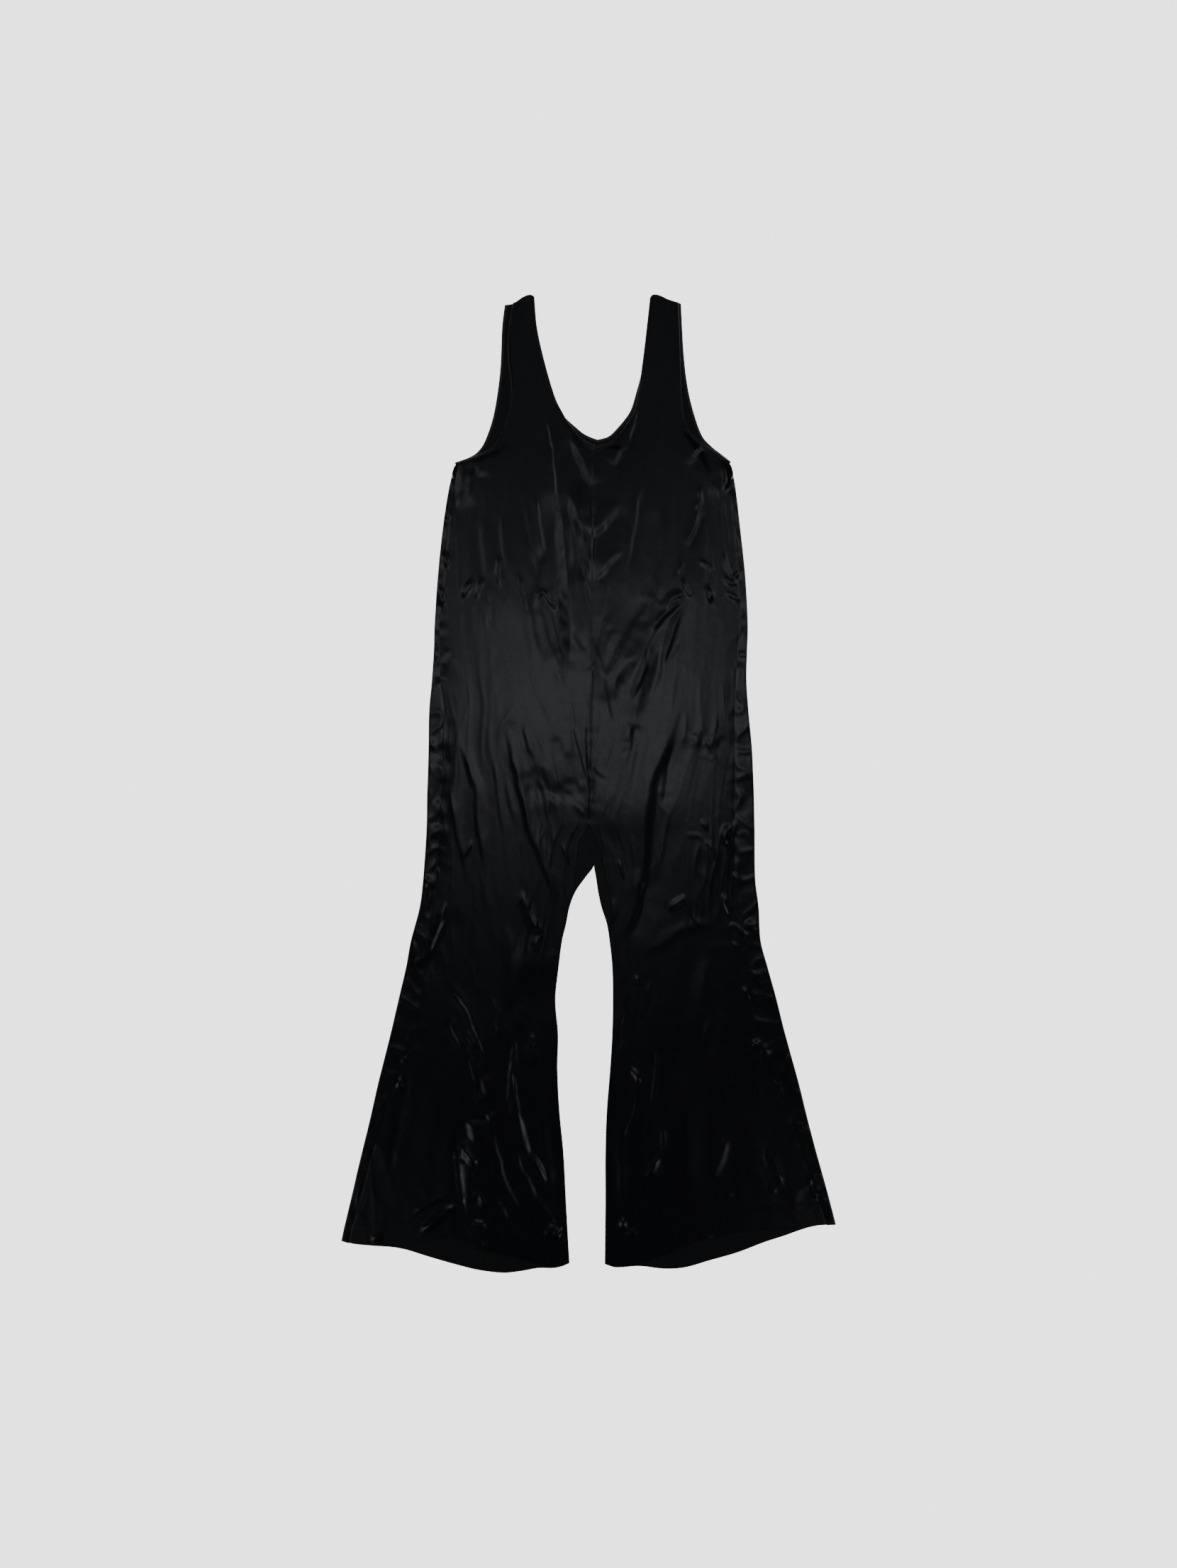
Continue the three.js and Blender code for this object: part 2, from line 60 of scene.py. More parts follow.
# Heights of the layers, in millimetres, as the solids have them
FRONT_TOP = 2.9
SIDE_LOFT = 1.2
CENTRE_LOFT = 0.8
INSEAM_LOFT = 0.1
CROWN = 1.5
CROWN_WIDTH = 150
LOWEST_CREASE = -1.3
CREASE_STOP = 2.2
CENTRE_SEAM_DEPTH = 0.16
SIDE_SEAM_DEPTH = 0.15

# Places on the plan where the lines of the panels change
ARMPIT_Y = 470
TURN_DEPTH = 24
FRONT_CROTCH_Y = -58
CROTCH_Y = {"front": FRONT_CROTCH_Y, "back": -121}
NECK_Y = {"front": 499, "back": 509}
HEM_ENDS = {"left": (-709, -675), "right": (-711, -652)}

# The hem: depth of its stitches below which the cloth is doubled, and the dent that they pull
HEM_STITCH_DEPTH = 36
HEM_THICKNESS = 0.12
HEM_DENT = 0.35
HEM_DENT_WIDTH = 1.6

# Grids of the panels: how far they stay inside the edge, the shares of a strap's and a leg's rows that
# bend to follow the shoulder and the hem, and the columns of the back that turn round the side
PANEL_INSET = 2.0
SHOULDER_SHARE = 0.28
HEM_SHARE = 0.16
EVEN_SHARE = 0.6
TURN_STEPS = 10
FLAP_STEPS = 12
STRAP_FLAP = 3.0
LEAST_FLAP = 1.0

# Bindings: half height of the tube, height of its middle, and its gathers
BINDING_STEPS = 110
BINDING_SIDES = 14
BINDING_HALF = {"front": 1.15, "back": 1.08}
BINDING_SINK = 0.25
BACK_BINDING_Z = 1.12
GATHER = 0.03
GATHER_PITCH = 5.2

# Stitches: how far they lie from a bound edge and above the cloth
STITCHES_IN = 5.6
THREAD_LIFT = 0.12

# Studio, in metres but for the sensor's millimetres, and the colours of its light
FLOOR_HALF = 5.0
FLOOR_Z = -0.0004
SENSOR_HEIGHT = 36.0
FARTHEST = 50
LAMPS_ABOVE_CAMERA = 0.5
SIDE_LAMPS_Z = 2.9
LAMP_TINT = (0.91, 0.935, 1.0)
WORLD_TINT = (0.86, 0.92, 1.0, 1)
WORLD_STRENGTH = 0.036

# Softboxes over the camera. Columns: name, place on the plan, height above the others, the point on the
# plan that it faces, width and length, and power in watts.
OVERHEAD_LAMPS = (
    ("softbox_thighs", (-0.28, -0.32), 0.0, (-0.15, -0.15), (0.66, 0.54), 0.21),
    ("softbox_straps", (0.0, 1.42), 0.0, (0.0, 0.6), (1.0, 0.6), 0.32),
    ("softbox_wide", (0.0, 0.75), 0.1, (0.0, 0.3), (2.2, 3.0), 0.55),
)

# Softboxes on both sides, given for the right one. Same columns without the height.
SIDE_LAMPS = (
    ("softbox_chest", (1.42, 0.82), (0.0, 0.3), (0.5, 1.3), 2.8),
    ("softbox_legs", (1.7, -1.5), (0.0, -0.5), (0.5, 0.9), 3.8),
)

# Cells of a random table before it repeats
NOISE_CELLS = 256


def table(columns, *rows):
    """A table with a name for each column, sorted by its first column."""
    values = np.array(sorted(rows), float)
    named = {name: values[:, i] for i, name in enumerate(columns)}
    named["across"] = values[:, 0]
    return named


# Outline and side seam of both sides, a row per section
SIDES = table(
    ("y", "left_edge", "left_seam", "right_seam", "right_edge"),
    (470, -199, -193, 206, 212),
    (436, -207, -200, 211, 218),
    (385, -215, -207, 217, 224),
    (310, -223, -214, 222, 232),
    (234, -228, -220, 225, 236),
    (200, -229, -220, 220, 235),
    (153, -232, -219, 218, 234),
    (108, -236, -213, 216, 237),
    (54, -237, -217, 216, 242),
    (14, -238, -213, 216, 244),
    (-15, -239, -219, 216, 245),
    (-68, -240, -221, 216, 246),
    (-141, -245, -225, 217, 247),
    (-182, -250, -230, 223, 252),
    (-232, -263, -237, 232, 255),
    (-270, -270, -241, 238, 265),
    (-313, -280, -246, 242, 277),
    (-365, -292, -255, 247, 290),
    (-405, -302, -272, 257, 301),
    (-445, -312, -288, 278, 312),
    (-498, -324, -304, 300, 325),
    (-547, -336, -320, 317, 338),
    (-597, -348, -334, 334, 352),
    (-651, -361, -349, 352, 366),
    (-675, -366, -355, 356, 370),
)

# Centre seams of the front and the back, above the crotch
CENTRE = table(
    ("y", "front", "back"),
    (509, 13, 13),
    (488, 8, 10),
    (383, 8, 8),
    (332, 6, 6),
    (67, 4, 4),
    (27, 1, 3),
    (-7, 4, 2),
    (-58, 1, 1),
    (-93, 1, 4),
    (-121, 1, 8),
)

# Inner edges of the legs, below the crotch
INSEAMS = table(
    ("y", "left_front", "left_back", "right_back", "right_front"),
    (-58, 1, 8, 8, 1),
    (-85, -14, 8, 8, 13),
    (-102, -17, 8, 8, 19),
    (-121, -19, 8, 8, 23),
    (-139, -21, -5, 11, 27),
    (-159, -23, -19, 14, 32),
    (-182, -29, -28, 19, 35),
    (-207, -34, -33, 27, 33),
    (-232, -40, -39, 31, 32),
    (-270, -45, -44, 35, 36),
    (-320, -50, -49, 36, 37),
    (-371, -46, -45, 35, 36),
    (-421, -47, -46, 32, 33),
    (-484, -44, -43, 27, 28),
    (-547, -38, -37, 25, 26),
    (-623, -34, -33, 25, 26),
    (-711, -29, -28, 24, 25),
)

# Bottom edges of the legs: the back hangs lower than the front in mid-leg
HEMS = {
    "left": table(
        ("x", "front", "back"),
        (-366, -675, -676),
        (-349, -680, -681),
        (-319, -683, -684),
        (-290, -684, -686),
        (-269, -681, -690),
        (-237, -674, -700),
        (-195, -672, -712),
        (-162, -688, -720),
        (-126, -696, -724),
        (-97, -704, -721),
        (-75, -710, -717),
        (-52, -714, -717),
        (-38, -713, -714),
        (-27, -708, -709),
    ),
    "right": table(
        ("x", "front", "back"),
        (24, -710, -711),
        (40, -715, -716),
        (75, -710, -714),
        (113, -697, -718),
        (143, -684, -716),
        (178, -672, -706),
        (220, -663, -694),
        (262, -658, -678),
        (290, -657, -669),
        (318, -654, -659),
        (339, -653, -654),
        (370, -651, -652),
    ),
}

# Shoulder ends of the straps
SHOULDERS = {
    "left": table(("x", "y"), (-124, 709), (-110, 712), (-96, 721), (-86, 724), (-80, 721)),
    "right": table(("x", "y"), (90, 719), (95, 724), (105, 723), (118, 717), (137, 711)),
}

# Edges of the neck and the armholes, each from the shoulder down
EDGES = {
    ("left", "neck", "front"): (
        (-80, 721), (-76, 675), (-65, 625), (-50, 574),
        (-38, 549), (-27, 531), (-9, 511), (13, 500),
    ),
    ("left", "neck", "back"): (
        (-82, 721), (-78, 675), (-67, 625), (-52, 574),
        (-40, 549), (-15, 525), (-2, 516), (13, 510),
    ),
    ("right", "neck", "front"): (
        (91, 720), (86, 675), (80, 625), (73, 576),
        (66, 549), (46, 519), (31, 505), (13, 500),
    ),
    ("right", "neck", "back"): (
        (93, 721), (88, 675), (80, 618), (69, 574),
        (60, 549), (40, 524), (28, 514), (13, 510),
    ),
    ("left", "armhole", "front"): (
        (-112, 711), (-119, 667), (-119, 626), (-115, 580),
        (-124, 533), (-140, 501), (-161, 488), (-192, 477),
    ),
    ("left", "armhole", "back"): (
        (-124, 709), (-128, 675), (-131, 610), (-140, 549),
        (-152, 511), (-163, 493), (-176, 484), (-198, 476),
    ),
    ("right", "armhole", "front"): (
        (133, 712), (135, 663), (137, 600), (141, 548),
        (151, 522), (172, 502), (190, 491), (205, 480),
    ),
    ("right", "armhole", "back"): (
        (137, 711), (141, 637), (147, 587), (156, 549),
        (168, 516), (183, 499), (196, 489), (211, 477),
    ),
}

# How far the fine creases lean in at each height, and how strong the creases and the thin lines are
LEAN = table(
    ("y", "shift", "crumpled", "lines"),
    (720, 150, 0.5, 0.5),
    (500, 120, 0.3, 1.0),
    (300, 90, 0.48, 0.8),
    (150, 60, 0.68, 0.28),
    (60, 40, 0.8, 0.32),
    (-60, 6, 1.0, 0.7),
    (-200, -16, 0.85, 0.7),
    (-360, -40, 0.8, 0.6),
    (-500, -80, 0.75, 0.5),
    (-720, -130, 0.7, 0.5),
)

# Noises of the fine creases. Columns: size across and along, in millimetres, and number.
STREAKS = {
    "drift": (90, 150, 0),
    "broad": (46, 210, 1),
    "middle": (25, 130, 2),
    "fine": (11, 60, 3),
    "crossing": (34, 52, 4),
    "crisp": (110, 120, 5),
    "strong": (60, 95, 6),
    "facets": (26, 26, 7),
    "grit": (14, 20, 8),
    "lines": (19, 240, 9),
    "long_lines": (30, 300, 10),
}
STREAK_SEEDS = {"left": 100, "right": 200}

# Puckers of the side seams: seed, pitch along the seam, and how far the strip rolls under beside it
SEAM_PUCKERS = {"left": (21, 0.55, 1.0), "right": (31, 0.9, 0.35)}

# Places where the front is crumpled into small facets. Columns: middle on the plan, half width and
# half length, and strength.
CRUMPLED = (
    (-184, 450, 26, 44, 1.0),
    (202, 446, 16, 52, 0.65),
    (212, 300, 26, 34, 0.7),
    (-196, 278, 30, 30, 0.7),
    (190, 236, 34, 40, 0.3),
    (-60, 276, 46, 26, 0.25),
    (200, 66, 20, 38, 0.15),
    (206, -80, 18, 70, 0.35),
    (232, -214, 26, 30, 0.6),
    (150, -190, 60, 34, 0.4),
    (-236, -214, 24, 44, 0.7),
    (-258, -372, 18, 24, 1.2),
    (-268, -410, 14, 30, 0.8),
    (-165, -560, 18, 70, 0.55),
    (-166, -678, 22, 16, 1.0),
    (-96, -500, 40, 60, 0.4),
    (-48, -662, 18, 18, 1.0),
    (45, -660, 22, 26, 1.0),
    (56, -420, 20, 44, 0.7),
    (244, -386, 20, 20, 1.1),
    (262, -440, 12, 30, 0.6),
    (322, -596, 16, 34, 0.6),
    (250, -560, 30, 50, 0.4),
)

# Folds of the front. Columns: line on the plan, width on its left and on its right seen along the
# line, height above or below the cloth round it, and crispness from 0, round, to 1, sharp.
FRONT_FOLDS = (
    # Chest, left
    (((-67, 334), (-73, 384), (-79, 432)), 12, 4, 0.9, 0.7),
    # Armpits
    (((201, 432), (204, 453), (199, 480)), 8, 8, 1.6, 0.5),
    (((156, 407), (165, 420), (162, 442)), 4, 4, 1, 0.7),
    (((-206, 389), (-211, 410)), 6, 6, 1.4, 0.6),
    (((-209, 321), (-215, 344)), 7, 7, 1.4, 0.5),
    # Waist, left
    (((-216, 263), (-220, 293)), 8, 6, 1.6, 0.5),
    (((-128, 291), (-135, 313), (-130, 336)), 5, 5, 1.2, 0.6),
    (((-186, 273), (-181, 288), (-171, 303)), 6, 6, 1.5, 0.6),
    (((-166, 273), (-163, 291), (-152, 301)), 5, 5, 1.2, 0.6),
    (((-90, 258), (-97, 283), (-105, 311)), 4, 4, 1, 0.7),
    (((-45, 258), (-54, 268), (-68, 283), (-82, 273)), 4, 5, 1.2, 0.8),
    # Waist, right
    (((151, 275), (143, 291), (136, 303)), 4, 5, 1.2, 0.8),
    (((133, 313), (142, 329)), 3, 3, 0.75, 0.8),
    (((110, 258), (123, 275), (142, 283)), 8, 8, 1.6, 0.7),
    (((189, 317), (176, 323), (161, 331)), 4, 4, 1, 0.8),
    (((222, 299), (209, 298), (199, 306)), 5, 5, 1.2, 0.7),
    (((214, 303), (223, 313)), 4, 4, 1, 0.7),
    (((224, 273), (214, 278), (204, 283)), 5, 5, 1.2, 0.7),
    (((176, 268), (181, 280), (174, 293)), 8, 6, 1.6, 0.6),
    (((212, 306), (204, 321), (199, 344)), 4, 4, 1, 0.7),
    # Belly
    (((60, 127), (72, 148), (83, 173), (86, 206)), 5, 6, 1.1, 0.7),
    (((108, 165), (115, 196), (126, 234), (141, 267)), 6, 6, 1.2, 0.6),
    (((95, 226), (110, 249), (141, 274)), 6, 4, 1.4, 0.7),
    # Hip, left
    (((-6, -47), (-21, -30)), 3, 3, 0.5, 0.6),
    (((-3, 96), (-1, 40), (1, -20), (-1, -56)), 3.5, 3, -0.42, 0.7),
    # Hip, right
    (((193, 35), (176, 62), (165, 86)), 4, 4, 0.5, 0.8),
    (((179, 54), (183, 64), (190, 103)), 4, 4, 0.5, 0.8),
    (((193, 34), (176, 41), (161, 43)), 3, 3, 0.25, 0.8),
    # Thigh, left
    (((-30, -120), (-33, -107), (-38, -86)), 3, 3, 0.75, 0.6),
    (((-66, -224), (-83, -199), (-91, -178), (-99, -158)), 14, 4, 1.8, 0.6),
    (((-75, -247), (-78, -236), (-70, -226)), 5, 5, 1.2, 0.6),
    (((-189, -113), (-183, -102), (-173, -84)), 4, 4, 1, 0.7),
    (((-240, -249), (-228, -228), (-218, -204), (-210, -173)), 8, 4, 2, 0.6),
    (((-236, -153), (-239, -136)), 7, 7, 1.8, 0.4),
    (((-223, -134), (-221, -124)), 4, 4, 1, 0.5),
    (((-263, -284), (-257, -252), (-260, -228)), 4, 4, 1, 0.6),
    (((-212, -102), (-226, -94), (-237, -102)), 3, 3, 0.75, 0.6),
    # Knee, left
    (((-162, -311), (-168, -291), (-173, -270)), 3, 3, 0.75, 0.7),
    (((-133, -376), (-136, -344), (-144, -313)), 4, 6, 1, 0.6),
    (((-249, -357), (-267, -367), (-265, -376), (-252, -368), (-248, -356)), 3, 3, 0.75, 0.6),
    (((-77, -394), (-84, -368)), 8, 8, 1, 0.4),
    # Thigh, right
    (((187, -112), (181, -91), (169, -83)), 5, 4, 0.8, 0.7),
    (((176, -83), (162, -77), (141, -75)), 3, 3, 0.5, 0.6),
    (((176, -67), (168, -54)), 4, 4, 1, 0.6),
    (((53, -144), (43, -113)), 3, 3, 0.75, 0.6),
    (((205, -92), (202, -78), (209, -59)), 8, 8, 2, 0.4),
    (((215, -79), (216, -53)), 4, 4, 1, 0.4),
    (((223, -148), (215, -132)), 5, 5, 1.2, 0.5),
    # Knee, right
    (((145, -167), (133, -175), (118, -185)), 5, 5, 1.2, 0.6),
    (((166, -216), (152, -189), (139, -166)), 3, 3, 0.75, 0.8),
    (((190, -206), (152, -213), (128, -223), (110, -235), (78, -255)), 7, 16, 0.6, 0.5),
    (((209, -195), (197, -164)), 3, 8, 1.4, 0.7),
    (((251, -215), (232, -204)), 8, 8, 2, 0.4),
    (((242, -231), (228, -218), (213, -210), (205, -219)), 4, 4, 1, 0.6),
    (((224, -245), (213, -236)), 4, 4, 1, 0.6),
    (((259, -287), (234, -278)), 3, 3, 0.75, 0.7),
    (((239, -316), (228, -301)), 5, 5, 1.2, 0.5),
    (((70, -295), (71, -282)), 5, 5, 1.2, 0.4),
    (((78, -347), (86, -315), (91, -291)), 5, 5, 1, 0.5),
    (((46, -389), (54, -349), (60, -310)), 5, 5, -1, 0.5),
    (((256, -381), (240, -387)), 6, 6, 1.5, 0.5),
    # Lower leg, left
    (((-166, -565), (-173, -556), (-187, -540)), 6, 6, 1.5, 0.5),
    (((-156, -626), (-169, -612), (-164, -599)), 3, 3, 0.75, 0.6),
    (((-153, -626), (-163, -603), (-175, -626)), 3, 3, 0.75, 0.6),
    (((-153, -652), (-173, -648)), 5, 5, 1.2, 0.5),
    (((-166, -675), (-156, -669), (-151, -684), (-163, -687), (-173, -679)), 3, 3, 0.75, 0.6),
    (((-53, -654), (-64, -670)), 4, 4, 1, 0.6),
    (((-35, -657), (-43, -661), (-53, -672)), 4, 5, 1.2, 0.6),
    (((-207, -608), (-239, -621), (-259, -637)), 4, 5, 1.2, 0.7),
    (((-191, -628), (-209, -631), (-225, -645), (-247, -666)), 5, 10, 2.5, 0.6),
    (((-305, -669), (-322, -674)), 6, 6, 1.2, 0.4),
    (((-269, -404), (-279, -410)), 5, 5, 1.2, 0.3),
    (((-277, -450), (-282, -434)), 6, 6, 1.4, 0.3),
    (((-300, -597), (-286, -530), (-273, -462), (-256, -395)), 12, 10, -0.7, 0.4),
    (((-184, -648), (-189, -597), (-198, -523)), 7, 7, -1.4, 0.4),
    (((-119, -496), (-113, -429), (-109, -368)), 8, 8, -1.6, 0.4),
    (((-80, -417), (-84, -381)), 14, 14, 1.2, 0.2),
    # Lower leg, right
    (((77, -443), (69, -429), (60, -420)), 6, 6, 1.5, 0.5),
    (((48, -527), (60, -496), (66, -473), (68, -446)), 3, 3, 0.75, 0.7),
    (((93, -496), (99, -435), (104, -381)), 5, 6, -1, 0.5),
    (((83, -584), (93, -570), (105, -548)), 5, 6, 1.5, 0.6),
    (((112, -550), (109, -506)), 5, 5, -1, 0.5),
    (((52, -660), (50, -639)), 7, 7, 1.8, 0.4),
    (((72, -661), (56, -666)), 5, 5, 1.2, 0.4),
    (((181, -586), (192, -560), (204, -516)), 8, 10, 1.2, 0.5),
    (((287, -596), (276, -564), (269, -538)), 8, 8, 1.2, 0.4),
    (((284, -592), (266, -564), (260, -535)), 3, 3, -0.6, 0.6),
    (((268, -396), (253, -386), (241, -384)), 6, 6, 1.5, 0.4),
    (((286, -457), (276, -434)), 4, 4, 1, 0.5),
    (((210, -612), (203, -601)), 4, 4, 1, 0.4),
    (((278, -597), (270, -603)), 4, 4, 1, 0.4),
    (((333, -580), (326, -592)), 3, 3, 0.75, 0.5),
    (((341, -611), (333, -597)), 7, 7, 1.4, 0.4),
    (((186, -667), (167, -673)), 5, 5, 0.9, 0.3),
    # Long soft folds of the legs
    (((-252, -600), (-236, -500), (-225, -420)), 22, 26, 0.3, 0.0),
    (((-212, -640), (-204, -560), (-190, -440)), 14, 18, 0.4, 0.1),
    (((-54, -640), (-64, -540), (-74, -440)), 12, 12, 1.0, 0.1),
    (((-118, -340), (-112, -280), (-120, -200)), 16, 14, 1.2, 0.1),
    (((150, -620), (140, -500), (150, -400)), 26, 28, 1.3, 0.0),
    (((262, -620), (236, -520), (210, -420)), 24, 24, 0.5, 0.0),
    (((100, -620), (92, -500), (98, -400)), 16, 18, 1.0, 0.1),
    (((52, -640), (48, -560), (52, -470)), 12, 12, 1.0, 0.1),
    (((172, -380), (166, -320), (176, -250)), 16, 14, 1.2, 0.1),
    # Broad soft swells that give the sheen its uneven upper edge
    (((-15, 176), (40, 168), (105, 190)), 90, 50, 1.4, 0.0),
    (((-190, 262), (-120, 274), (-60, 268)), 100, 60, 0.5, 0.0),
    (((110, 286), (160, 278), (205, 282)), 90, 50, 0.75, 0.0),
    (((-112, -250), (-74, -262), (-44, -250)), 110, 40, 2.4, 0.0),
    # Hips and thighs, steep on the dark side and gentle on the light one
    (((-152, -125), (-158, -90), (-163, -50), (-166, -10), (-176, 25), (-188, 60)), 6, 13, 1.0, 0.7),
    (
        ((-49, -204), (-57, -145), (-70, -105), (-84, -75), (-94, -35), (-103, 5), (-114, 50), (-122, 90)),
        7, 15, 1.2, 0.7,
    ),
    (((-48, -105), (-57, -60), (-64, -20), (-70, -5)), 4, 4, 0.4, 0.6),
    (((-84, 38), (-90, 60), (-98, 90)), 4, 10, 0.6, 0.7),
    (((-98, -7), (-70, -11), (-41, -15), (-4, -17)), 30, 15, -0.6, 0.7),
    (((-126, -80), (-131, -30), (-137, 10), (-140, 40)), 4, 7, 0.5, 0.6),
    (((-108, -60), (-116, -20), (-120, 10)), 4, 7, 0.45, 0.6),
    (((-178, -140), (-190, -90), (-200, -40), (-206, 0)), 5, 9, 0.5, 0.5),
    (((100, -134), (106, -100), (112, -70), (118, -40)), 4, 6, 0.55, 0.7),
    (((-6, -74), (32, -46), (60, -42), (88, -38), (150, -40)), 70, 56, 1.0, 0.25),
    (((200, -160), (206, -180), (212, -200)), 3, 4, 0.5, 0.6),
)

# Kinks of the front, where the cloth steps to another height. Columns: line on the plan, half width
# of the step, and how far its left side, seen along the line, lies above the middle.
FRONT_KINKS = (
    # Chest, right
    (((94, 260), (100, 291), (107, 351), (105, 407)), 5.9, -0.62),
    (((99, 432), (100, 473), (100, 518), (104, 579)), 4.2, -0.36),
    # Waist, left
    (((-85, 260), (-72, 318), (-67, 344)), 4.2, -0.45),
    # Belly
    (((-147, 229), (-148, 254), (-150, 279)), 2.5, 0.21),
    (((-67, 176), (-73, 203), (-79, 231), (-85, 274)), 4.2, 0.45),
    (((-38, 168), (-44, 196), (-54, 216), (-67, 274)), 6.7, 0.89),
    (((-4, 195), (-14, 206), (-25, 224)), 3.4, 0.37),
    (((-39, 143), (-54, 168)), 2.5, -0.21),
    (((-19, 84), (-24, 122)), 2.5, -0.21),
    (((-219, 178), (-202, 195)), 3.4, -0.37),
    (((-136, 130), (-140, 170), (-145, 203)), 2.5, 0.21),
    (((24, 203), (34, 231)), 3.4, -0.29),
    (((24, 160), (18, 183), (9, 215)), 4.2, 0.45),
    (((37, 87), (32, 115), (24, 160)), 2.5, -0.21),
    (((47, 127), (45, 148), (55, 170), (72, 191)), 6.7, 0.72),
    (((93, 229), (96, 254), (99, 274)), 6.7, -0.52),
    (((71, 92), (83, 127), (93, 170), (100, 206)), 7.6, 0.6),
    (((60, 46), (66, 89)), 3.4, 0.37),
    # Thigh, left
    (((-255, -284), (-236, -255), (-218, -220), (-204, -181)), 6.7, 0.89),
    # Thigh, right
    (((54, -228), (70, -199), (80, -165), (86, -125)), 6, 0.8),
    # Folds that cross the belly towards the crotch
    (((22, 150), (44, 196), (66, 236), (92, 282)), 4, -0.32),
    (((52, 140), (78, 190), (104, 232), (136, 268)), 3.5, 0.3),
    (((8, 176), (16, 214), (34, 256)), 3.5, -0.28),
    (((84, 118), (112, 172), (142, 214)), 3.5, -0.25),
    # Bright facets of the chest and the armpits
    (((2, 438), (-9, 468), (-19, 492), (-28, 514)), 5.2, -1.22),
    (((-1, 300), (-7, 330), (-14, 364), (-23, 398), (-32, 434)), 7.5, -1.9),
    (((-10, 392), (3, 375), (15, 374), (28, 386), (45, 414)), 6.5, 0.75),
    (((-33, 180), (-37, 245), (-39, 300), (-43, 360), (-48, 436)), 8.5, -2.05),
    (((-43, 375), (-48, 430), (-51, 470), (-57, 515), (-62, 556)), 1.8, -0.44),
    (((10, 300), (28, 322), (49, 345)), 3, 0.4),
    (((-196, 405), (-192, 440), (-190, 475), (-190, 496)), 5, -0.95),
    (((-186, 415), (-179, 450), (-174, 480), (-172, 502)), 5, -0.95),
    (((-168, 455), (-162, 478), (-156, 500)), 5, -0.9),
    (((196, 420), (185, 446), (172, 475), (158, 500), (140, 522)), 4.5, 0.9),
    (((204, 425), (205, 452), (199, 480)), 5, 1.0),
    (((150, 470), (160, 490), (174, 500)), 4, 0.7),
    (((145, 350), (158, 378), (164, 407)), 2.5, 0.6),
    (((60, 318), (66, 360), (72, 402), (80, 440)), 2, 0.46),
    (((-75, 300), (-84, 350), (-96, 420)), 2, -0.24),
    (((-120, 300), (-128, 350), (-132, 400)), 3, -0.29),
    (((-152, 300), (-158, 340), (-160, 390)), 4, -0.32),
    (((-8, 508), (4, 500), (22, 497), (40, 512), (52, 530)), 2.5, 0.4),
    (((38, 470), (46, 486), (50, 500)), 4, 0.75),
    (((59, 498), (66, 525), (73, 560)), 2, 0.46),
    # Long bright creases of the left leg
    (((-54, -594), (-70, -568), (-84, -548), (-93, -524), (-99, -490)), 4.2, -1.05),
    (((-96, -520), (-104, -475), (-109, -445), (-113, -410)), 2, -0.48),
    (((-44, -656), (-58, -634), (-74, -612), (-84, -598)), 3.6, -0.88),
    (((-76, -610), (-88, -585), (-99, -562), (-106, -540)), 3.2, -0.78),
    (((-100, -634), (-110, -610), (-122, -588), (-128, -565), (-134, -540), (-140, -515)), 2.8, -0.66),
    (((-117, -644), (-126, -628), (-137, -615)), 3.2, -0.8),
    (((-135, -602), (-141, -575), (-146, -540), (-152, -480)), 1.6, -0.34),
    (((-164, -480), (-168, -450), (-173, -425), (-180, -400)), 1.8, -0.45),
    (((-188, -392), (-198, -370), (-207, -348)), 2.2, -0.55),
    (((-170, -392), (-184, -368)), 2.2, -0.55),
    (((-150, -410), (-166, -370), (-178, -340), (-204, -298)), 2.4, -0.6),
    (((-157, -418), (-158, -400)), 2.2, -0.46),
    (((-153, -462), (-156, -448), (-158, -432)), 4, -0.83),
    (((-147, -500), (-151, -488)), 4, -0.69),
    (((-172, -530), (-176, -514), (-180, -498)), 5.5, -1.1),
    (((-182, -562), (-180, -552), (-188, -540)), 5, -1.0),
    (((-174, -586), (-168, -570), (-163, -556)), 3.6, 0.8),
    (((-180, -624), (-170, -604)), 2.4, 0.69),
    (((-158, -626), (-166, -606)), 2.4, -0.69),
    (((-45, -672), (-38, -656)), 5, 1.26),
    (((-165, -650), (-158, -646)), 4, -0.92),
    # Hips and thighs
    (((-52, -14), (-62, 2), (-76, 28)), 7, -0.55),
    (((-38, 38), (-40, 70)), 5, -0.4),
    (((-16, -8), (-14, 6)), 4, -0.3),
    (((1, -44), (3, -12), (0, 18), (-2, 42)), 2, 0.4),
    (((-4, 12), (-10, 34), (-18, 66), (-22, 86)), 2, -0.26),
    (((6, 24), (16, 14), (28, 8)), 1.8, 0.2),
    (
        ((68, -210), (80, -152), (87, -106), (89, -73), (95, -20),
         (103, 13), (113, 39), (126, 72), (132, 92)),
        6.5, 1.1,
    ),
    (((109, -30), (112, 0), (116, 30), (123, 56)), 3, 0.48),
    (((62, 62), (64, 78), (68, 90)), 3.5, 0.45),
    (((166, 58), (160, 76)), 4, 0.4),
    (((188, 50), (194, 72)), 5, 0.45),
    (((32, -204), (34, -190), (32, -170)), 2, -0.5),
)

